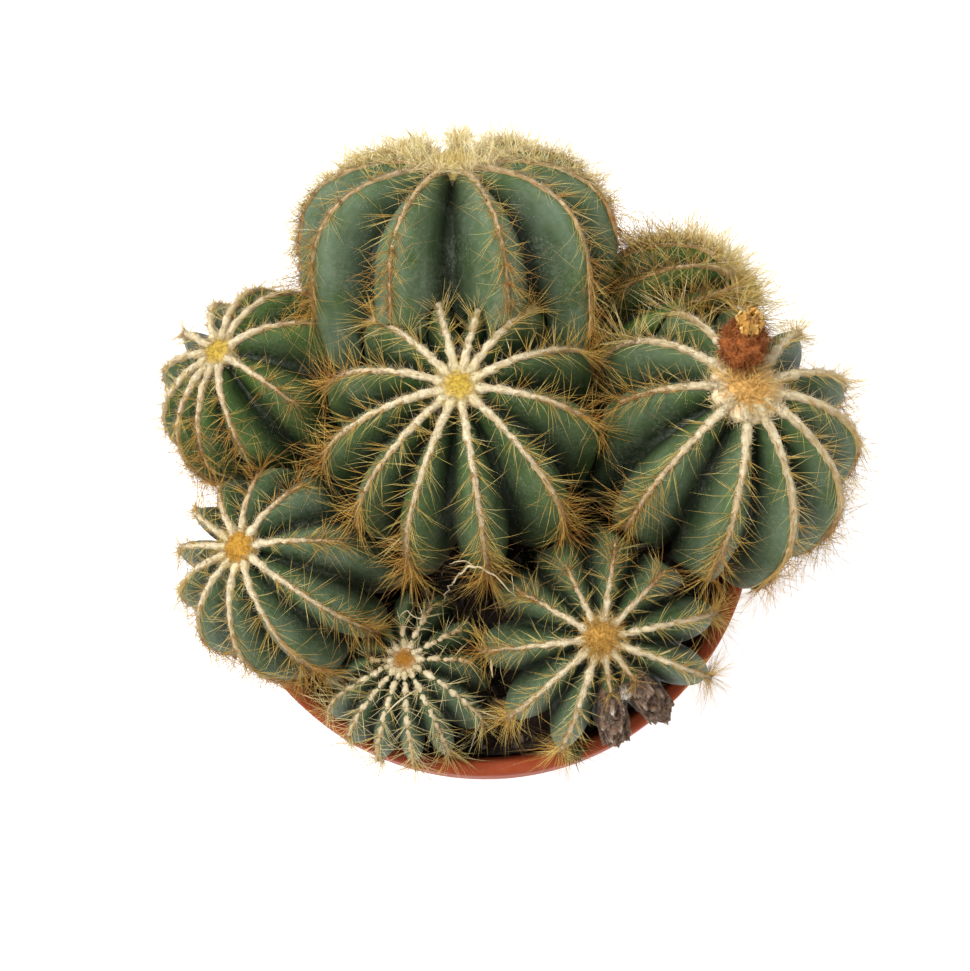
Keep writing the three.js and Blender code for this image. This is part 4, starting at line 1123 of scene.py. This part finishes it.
CURLS = [  # knots, radius
    ([[8.3, -32.6, 143.8], [5.0, -30.6, 147.0], [2.6, -28.7, 150.5], [0.2, -26.9, 151.5], [-2.6, -25.9, 150.0],
      [-5.2, -26.4, 147.5], [-7.2, -27.8, 142.0], [-9.5, -29.1, 134.0], [-10.5, -30.5, 129.0]], 0.28),
    ([[6.8, -31.9, 145.6], [6.7, -27.0, 147.5], [4.3, -26.5, 148.5], [2.8, -28.4, 150.2]], 0.14),
    ([[-2.6, -25.9, 150.0], [-5.6, -24.6, 148.4], [-8.6, -24.6, 146.0]], 0.18),
    ([[-20.8, -34.1, 128.0], [-19.6, -32.9, 129.5], [-17.9, -33.6, 129.5], [-15.9, -34.0, 129.0],
      [-13.0, -35.6, 127.0]], 0.15),
]
SHED = [([[-24.5, -58.5, 129.3], [-20.6, -54.8, 131.0], [-14.6, -50.7, 128.4]], 0.2),
        ([[1.5, -44.4, 134.0], [1.5, -46.8, 132.6], [1.9, -49.3, 130.4]], 0.3),
        ([[46.1, -23.8, 137.2], [47.2, -25.4, 135.6], [48.8, -27.6, 133.4]], 0.26)]
curls = []
for knots, radius in CURLS:
    path = smooth_path(knots)
    path = path + 0.35 * np.stack([wobble(path, 3.0, 601 + i) for i in range(3)], axis=-1)
    curls.append(thread(path, radius))
curls = make_piece("dry_fibres", *merged(curls), "felt_and_spines")
straws = [thread(smooth_path(knots, 16), radius) for knots, radius in SHED]
straws = make_piece("shed_straws", *merged(straws), "felt_and_spines")
print("fibres:", len(CURLS), "straws:", len(SHED))

# %% Moss at the rim
MOSS_PLACE, MOSS_TUFTS = [21.6, -63.4, RIM_Z + 0.2], 150
draw = np.random.default_rng(600)
places = MOSS_PLACE + draw.normal(0, 1, (MOSS_TUFTS, 3)) * [1.3, 1.0, 0.3]
places[:, 2] = np.maximum(places[:, 2], RIM_Z - 1.0)
ways = unit(draw.normal(0, 0.6, (MOSS_TUFTS, 3)) + [0.1, -0.3, 0.5])
bends = draw.normal(0, 0.25, (MOSS_TUFTS, 3)) - 0.25 * Z
moss = make_piece("moss_scrap", *bristles(places, ways, draw.uniform(1.0, 2.4, MOSS_TUFTS), 0.24, bends), "soil")
print("moss shoots:", MOSS_TUFTS)

# %% [markdown]
# ## Materials
# All finishes are worked out from noise and from the numbers painted on the points. Three effects serve
# several finishes, and each is a node group that is built once: mottling, fine pale specks, and the pull of
# short fibres. A recipe is a node tree in the making, with a short word for each kind of node it needs.

# %% Words for node trees
class Recipe:
    """A node tree in the making, and the place that its patterns are read at."""

    def __init__(self, tree, place=None):
        self.tree, self.place = tree, place

    def put(self, socket, value):
        """Links an input, or sets its value."""
        if isinstance(value, bpy.types.NodeSocket):
            self.tree.links.new(value, socket)
        else:
            socket.default_value = value

    def add(self, kind, inputs=(), **settings):
        """A node with its settings. An input is a pair: its name or number, and a socket to link or a value."""
        node = self.tree.nodes.new(kind)
        for name, value in settings.items():
            setattr(node, name, value)
        for name, value in inputs:
            self.put(node.inputs[name], value)
        return node

    def calculate(self, operation, *values):
        """A Math node's result."""
        return self.add("ShaderNodeMath", enumerate(values), operation=operation).outputs[0]

    def times(self, first, second):
        """The product of two numbers."""
        return self.calculate("MULTIPLY", first, second)

    def clamp(self, value):
        """A number held between 0 and 1."""
        return self.add("ShaderNodeClamp", [("Value", value)]).outputs[0]

    def noise(self, scale, detail=3.0, roughness=0.55):
        """Fractal noise from 0 to 1. The scale is in cells per metre."""
        return self.add("ShaderNodeTexNoise", [("Vector", self.place), ("Scale", scale), ("Detail", detail),
                                               ("Roughness", roughness)]).outputs["Fac"]

    def blend(self, factor, first, second, blend_type="MIX"):
        """Two colours mixed: 0 gives the first and 1 the second."""
        colours = [c if isinstance(c, bpy.types.NodeSocket) else (*c, 1) for c in (first, second)]
        return self.add("ShaderNodeMix", [(0, factor), (6, colours[0]), (7, colours[1])],
                        data_type="RGBA", blend_type=blend_type).outputs[2]

    def ramp(self, factor, *stops):
        """Colours or greys along 0 to 1. A stop is a place and a colour, or a place and a grey."""
        node = self.add("ShaderNodeValToRGB", [("Fac", factor)])
        elements = node.color_ramp.elements
        while len(elements) < len(stops):
            elements.new(0.5)
        for element, (at, colour) in zip(elements, stops):
            element.position = at
            element.color = (*(colour if isinstance(colour, tuple) else (colour,) * 3), 1)
        return node.outputs["Color"]


# %% An empty node group
def new_group(name, output, **inputs):
    """A node group that reads its pattern at Place, with float inputs and one float output. It comes as a
    recipe to fill it with, its inputs and its output."""
    group = bpy.data.node_groups.new(name, "ShaderNodeTree")
    group.interface.new_socket(name="Place", in_out="INPUT", socket_type="NodeSocketVector")
    for label, default in inputs.items():
        socket = group.interface.new_socket(name=label, in_out="INPUT", socket_type="NodeSocketFloat")
        socket.default_value = default
    group.interface.new_socket(name=output, in_out="OUTPUT", socket_type="NodeSocketFloat")
    given = group.nodes.new("NodeGroupInput").outputs
    return Recipe(group, given["Place"]), given, group.nodes.new("NodeGroupOutput").inputs[output]


# %% Group: mottling
g, given, mask = new_group("mottle", "Mask", Scale=300.0, Contrast=2.0)
centred = g.calculate("SUBTRACT", g.noise(given["Scale"], 4.0, 0.6), 0.5)
g.put(mask, g.clamp(g.calculate("MULTIPLY_ADD", centred, given["Contrast"], 0.5)))
MOTTLE = g.tree

# %% Group: specks
g, given, mask = new_group("specks", "Mask", Scale=900.0, Size=0.12)
cells = g.add("ShaderNodeTexVoronoi", [("Vector", g.place), ("Scale", given["Scale"])])
spot = g.calculate("LESS_THAN", cells.outputs["Distance"], given["Size"])
g.put(mask, g.times(spot, g.calculate("GREATER_THAN", g.noise(130.0), 0.52)))
SPECKS = g.tree

# %% Group: fibres
g, given, height = new_group("fibres", "Height", Scale=1500.0, Twist=4.0)
stretched = g.add("ShaderNodeVectorMath", [(0, g.place), (1, (1.0, 0.35, 0.7))], operation="MULTIPLY")
bands = g.add("ShaderNodeTexNoise", [("Vector", stretched.outputs[0]), ("Scale", given["Scale"]), ("Detail", 4.0),
                                     ("Roughness", 0.7), ("Distortion", given["Twist"])])
g.put(height, bands.outputs["Fac"])
FIBRES = g.tree
print("groups:", [group.name for group in (MOTTLE, SPECKS, FIBRES)])


# %% A finish
class Finish(Recipe):
    """A material's recipe. Patterns are read at the piece's own coordinates, and constants are set on the
    shader's own sockets. An underscore in a socket's name stands for a space."""

    def __init__(self, name, roughness, **constants):
        self.material = bpy.data.materials.new(name)
        self.material.use_nodes = True
        super().__init__(self.material.node_tree)
        self.place = self.add("ShaderNodeTexCoord").outputs["Object"]
        self.shade(Roughness=roughness, **constants)

    def shade(self, **looks):
        """Links or sets the shader's sockets."""
        for label, value in looks.items():
            self.put(self.tree.nodes["Principled BSDF"].inputs[label.replace("_", " ")], value)

    def bump(self, height, distance):
        """Raises the surface by a height map. The distance is in metres."""
        self.shade(Normal=self.add("ShaderNodeBump", [("Height", height), ("Distance", distance)]).outputs[0])

    def painted(self, name):
        """A number that was painted on the points."""
        return self.add("ShaderNodeAttribute", attribute_name=name).outputs["Fac"]

    def use(self, group, **values):
        """A group's result with its own values."""
        return self.add("ShaderNodeGroup", {"Place": self.place, **values}.items(), node_tree=group).outputs[0]

    def mottle(self, scale, contrast, **values):
        """The mottling group's mask."""
        return self.use(MOTTLE, Scale=scale, Contrast=contrast, **values)

    def mottled(self, scale, contrast, first, second):
        """Two colours in a mottled mixture."""
        return self.blend(self.mottle(scale, contrast), first, second)


# %% [markdown]
# ## Skin finish
# The stems are green under a thin grey-blue bloom of wax. The bloom is strongest low on the flanks and
# worn near the crown. Painted shade darkens the grooves to near-black, and the crests are a lighter
# yellow-green. Tiny pale dots are the skin's pores, and the oldest skin at the bottom turns brown and corky.
# In each recipe m is the material being made.

# %% Skin material
m = SKIN = Finish("waxy_skin", 0.6, Specular_IOR_Level=0.22)
groove, age, wax = (m.painted(name) for name in ("groove", "age", "wax"))
down_rib = m.add("ShaderNodeCombineXYZ", [(0, m.times(m.painted("turn"), 11.0)), (1, m.times(age, 3.0))])
streaks = m.mottle(1.3, 2.6, Place=down_rib.outputs[0])
young = m.mottled(160.0, 2.2, (0.017, 0.043, 0.004), (0.056, 0.106, 0.013))
bloomed = m.mottled(420.0, 1.6, (0.070, 0.112, 0.040), (0.165, 0.222, 0.100))
bloomed = m.blend(m.times(wax, 0.68), bloomed, (0.122, 0.166, 0.130))
bloom = m.times(m.ramp(age, (0.05, 0.3), (0.4, 0.9), (0.8, 1.0)), m.blend(0.5, m.mottle(90.0, 3.0), streaks))
colour = m.blend(m.clamp(m.times(bloom, m.times(wax, 1.5))), young, bloomed)
# Painted shade: the grooves darken to near-black towards their middles. The crests then get a lighter, yellower
# green.
colour = m.blend(m.ramp(groove, (0.22, 0.0), (0.55, 0.42), (0.86, 0.97)), colour, (0.005, 0.010, 0.003))
colour = m.blend(m.ramp(groove, (0.0, 0.6), (0.2, 0.0)), colour, (0.120, 0.140, 0.045))
pores = m.times(m.use(SPECKS, Scale=1300.0, Size=0.15), 0.35)
colour = m.blend(pores, colour, (0.42, 0.48, 0.36))
scurf = m.times(m.mottle(1100.0, 7.0), m.mottle(110.0, 4.0))
colour = m.blend(m.times(scurf, 0.1), colour, (0.34, 0.36, 0.26))
corky = m.times(m.ramp(age, (0.8, 0.0), (1.0, 1.0)), m.mottle(260.0, 3.0))
colour = m.blend(corky, colour, (0.20, 0.16, 0.11))
m.shade(Base_Color=colour, Roughness=m.ramp(m.noise(350.0), (0.3, 0.5), (0.7, 0.66)))
m.bump(m.calculate("ADD", m.noise(2200.0, 2.0), m.times(m.noise(500.0), 1.4)), 0.00016)
print("material:", m.material.name)

# %% [markdown]
# ## Wool and spine finishes
# Fresh wool is cream, and it greys and browns with age towards the foot of each rib. The spines run from
# straw through gold to red-brown. Every spine has a tone of its own, and its foot is darker than its tip.

# %% Wool material
m = WOOL = Finish("areole_wool", 0.95, Specular_IOR_Level=0.1)
share = m.painted("share")
cream = m.mottled(900.0, 2.0, (0.62, 0.50, 0.29), (0.90, 0.81, 0.58))
dirty = m.mottled(700.0, 2.5, (0.38, 0.20, 0.06), (0.72, 0.54, 0.30))
colour = m.blend(m.ramp(share, (0.25, 0.0), (0.85, 0.9)), cream, dirty)
colour = m.blend(m.ramp(share, (0.0, 0.5), (0.09, 0.0)), colour, (0.80, 0.68, 0.32))
between = m.times(m.calculate("SUBTRACT", 1.0, m.painted("bead")), m.mottle(380.0, 3.5))
colour = m.blend(m.times(between, 0.25), colour, (0.42, 0.21, 0.07))
rusty = m.times(m.ramp(m.painted("edge"), (0.55, 0.0), (0.95, 1.0)), m.mottle(260.0, 3.0))
colour = m.blend(m.times(rusty, m.ramp(share, (0.0, 0.4), (0.5, 0.9))), colour, (0.42, 0.19, 0.045))
m.shade(Base_Color=colour)
m.bump(m.use(FIBRES, Scale=1600.0, Twist=3.0), 0.0004)

# %% Spine material
m = SPINE = Finish("bristle", 0.5, Specular_IOR_Level=0.2)
tone, along = m.painted("tone"), m.painted("along")
body = m.ramp(tone, (0.0, (0.96, 0.82, 0.46)), (0.25, (0.70, 0.54, 0.15)), (0.5, (0.62, 0.37, 0.07)),
              (0.75, (0.46, 0.20, 0.035)), (1.0, (0.16, 0.07, 0.02)))
foot = m.times(m.ramp(along, (0.0, 0.6), (0.35, 0.0)), m.ramp(tone, (0.0, 0.2), (0.4, 1.0)))
colour = m.blend(foot, body, (0.44, 0.17, 0.03))
m.shade(Base_Color=m.blend(m.ramp(along, (0.5, 0.0), (1.0, 0.45)), colour, (0.77, 0.69, 0.27)))
m.bump(m.noise(4000.0, 1.0), 0.00003)

# %% Crown material
m = CROWN = Finish("crown_felt", 0.9, Specular_IOR_Level=0.1)
uneven = m.times(m.calculate("SUBTRACT", m.mottle(1800.0, 1.6), 0.5), 0.06)
body = m.ramp(m.calculate("ADD", m.painted("tone"), uneven),
              (0.0, (0.84, 0.66, 0.28)), (0.2, (0.55, 0.38, 0.055)), (0.4, (1.0, 0.63, 0.22)),
              (0.6, (0.52, 0.28, 0.042)), (0.8, (0.42, 0.20, 0.03)), (1.0, (0.28, 0.115, 0.018)))
m.shade(Base_Color=m.blend(m.ramp(m.painted("rim"), (0.3, 0.0), (1.0, 1.0)), body, (0.86, 0.70, 0.45)))
m.bump(m.use(FIBRES, Scale=2200.0, Twist=2.0), 0.0002)
print("materials:", [finish.material.name for finish in (WOOL, SPINE, CROWN)])

# %% [markdown]
# ## Plastic, soil and dry things
# The plastic is an even brick red, a little rubbed and dusty, with the faint ripple of a moulding. Soil is
# nearly black with brown crumbs. Fruit wool, petals and cork share the mottling and fibre groups.

# %% Plastic material
m = PLASTIC = Finish("brick_plastic", 0.55, Specular_IOR_Level=0.06)
body = m.mottled(60.0, 1.5, (0.235, 0.040, 0.012), (0.295, 0.054, 0.018))
dusty = m.blend(m.times(m.mottle(230.0, 3.0), 0.12), body, (0.42, 0.15, 0.08))
spots = m.times(m.use(SPECKS, Scale=420.0, Size=0.14), 0.5)
m.shade(Base_Color=m.blend(spots, dusty, (0.25, 0.10, 0.06)),
        Roughness=m.ramp(m.noise(180.0, 4.0), (0.3, 0.46), (0.7, 0.62)))
m.bump(m.noise(700.0), 0.00006)

# %% Soil, grit and moss materials
m = SOIL = Finish("dark_soil", 0.95)
m.shade(Base_Color=m.mottled(500.0, 2.5, (0.012, 0.008, 0.006), (0.060, 0.038, 0.025)))
m.bump(m.noise(1400.0, 4.0, 0.7), 0.0009)
m = GRIT = Finish("grit_and_bark", 0.85)
tone = m.painted("tone")
body = m.ramp(tone, (0.0, (0.030, 0.018, 0.012)), (0.6, (0.090, 0.055, 0.035)), (0.85, (0.20, 0.15, 0.11)),
              (1.0, (0.42, 0.38, 0.33)))
body = m.blend(m.mottle(1500.0, 2.0), body, (0.05, 0.03, 0.02), "MULTIPLY")
m.shade(Base_Color=m.blend(0.6, body, m.ramp(tone, (0.0, (0.03, 0.018, 0.012)), (1.0, (0.30, 0.25, 0.20)))))
m.bump(m.noise(2600.0), 0.0003)
m = MOSS = Finish("moss", 0.8)
m.shade(Base_Color=m.mottled(900.0, 2.0, (0.030, 0.060, 0.014), (0.11, 0.15, 0.04)))

# %% Fruit and petal materials
m = FRUIT = Finish("fruit_wool", 0.85, Specular_IOR_Level=0.1)
shade = m.calculate("ADD", m.times(m.painted("tone"), 0.5), m.times(m.mottle(500.0, 2.2), 0.5))
body = m.ramp(shade, (0.1, (0.22, 0.055, 0.015)), (0.5, (0.47, 0.145, 0.040)), (0.9, (0.68, 0.33, 0.12)))
m.shade(Base_Color=body)
m.bump(m.use(FIBRES, Scale=1300.0, Twist=3.0), 0.0006)
m = PETAL = Finish("dry_petal", 0.6)
shade = m.calculate("ADD", m.times(m.painted("tone"), 0.6), m.times(m.mottle(900.0, 2.5), 0.4))
body = m.ramp(shade, (0.1, (0.20, 0.075, 0.012)), (0.45, (0.60, 0.30, 0.05)), (0.9, (0.86, 0.58, 0.18)))
m.shade(Base_Color=body)
m.bump(m.noise(1800.0), 0.0003)

# %% Cork and straw materials
m = CORK = Finish("scar_cork", 0.85)
# The crust's own brown, made darker where it is thin as painted shade in its splits and at its sinking edge. The
# palest stop is the scab's own colour.
shade = m.calculate("MULTIPLY_ADD", m.painted("height"), 0.55, m.times(m.mottle(520.0, 4.5), 0.45))
body = m.ramp(shade, (0.08, (0.034, 0.018, 0.010)), (0.36, (0.108, 0.052, 0.026)), (0.62, (0.235, 0.120, 0.060)),
              (0.88, (0.40, 0.28, 0.19)), (1.0, (0.97, 0.90, 0.78)))
m.shade(Base_Color=m.blend(m.times(m.mottle(1300.0, 9.0), 0.3), body, (0.48, 0.38, 0.30)))
m.bump(m.noise(1100.0, 5.0, 0.7), 0.0018)
m = STRAW = Finish("dry_fibre", 0.8)
m.shade(Base_Color=m.mottled(600.0, 2.5, (0.50, 0.38, 0.20), (0.80, 0.70, 0.48)))
m.bump(m.use(FIBRES, Scale=1500.0, Twist=2.0), 0.0003)
print("materials:", len(bpy.data.materials))


# %% Materials onto pieces
def dress(finish, *pieces):
    """Gives pieces a finish."""
    for piece in pieces:
        piece.data.materials.clear()
        piece.data.materials.append(finish.material)


for head in HEADS:
    dress(SKIN, head.skin_piece)
    dress(WOOL, head.wool_piece)
    dress(SPINE, head.spine_piece)
    dress(CROWN, head.crown_piece)
for finish, piece in [(PLASTIC, pot), (SOIL, soil), (GRIT, grit), (MOSS, moss), (FRUIT, fruit), (PETAL, flower)]:
    dress(finish, piece)
dress(CORK, *crusts)
dress(STRAW, curls, straws)

# %% [markdown]
# ## Floor and light
# The plant stands on a plain white floor that glows faintly, as a photographer's light table does, so that
# its shadow stays pale. A large soft light from the upper left gives the heads their form, and a weaker one
# from the right keeps the shaded side open.

# %% Floor
FLOOR_SIZE = 20.0
corners = np.array([-X - Y, X - Y, X + Y, Y - X]) * FLOOR_SIZE / 2
mesh = bpy.data.meshes.new("floor")
mesh.from_pydata(corners.tolist(), [], [(0, 1, 2, 3)])
floor = bpy.data.objects.new("floor", mesh)
bpy.context.scene.collection.objects.link(floor)
floor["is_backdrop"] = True
WHITE = (1, 1, 1, 1)
dress(Finish("pale_floor", 0.9, Base_Color=(0.9, 0.9, 0.9, 1), Emission_Color=WHITE, Emission_Strength=0.6), floor)

# %% Lights
world = bpy.data.worlds.new("studio")
bpy.context.scene.world = world
world.use_nodes = True
world.node_tree.nodes["Background"].inputs["Color"].default_value = WHITE
world.node_tree.nodes["Background"].inputs["Strength"].default_value = 0.7


def soft_light(name, position, size, power):
    """A square area light that faces the plant's middle."""
    light = bpy.data.lights.new(name, "AREA")
    light.size, light.energy = size, power
    away = unit(np.array(position) - [0, 0, 0.12])
    sideways = unit(np.cross([0, 1.0, 0.01], away))
    set_up(bpy.data.objects.new(name, light), [sideways, np.cross(away, sideways), away], position)


soft_light("key", (-0.5, 0.1, 1.2), 0.5, 16.0)
soft_light("fill", (0.5, -0.7, 0.9), 0.9, 1.2)
bpy.context.scene.view_settings.view_transform = "Standard"
print("lights: key and fill")

# %% [markdown]
# ## Size and finish
# The dressed plant's box is printed last, as the CAD model's box was at the start.

low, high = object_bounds()
print("visual box:", [round(v, 4) for v in (*low, *high)])
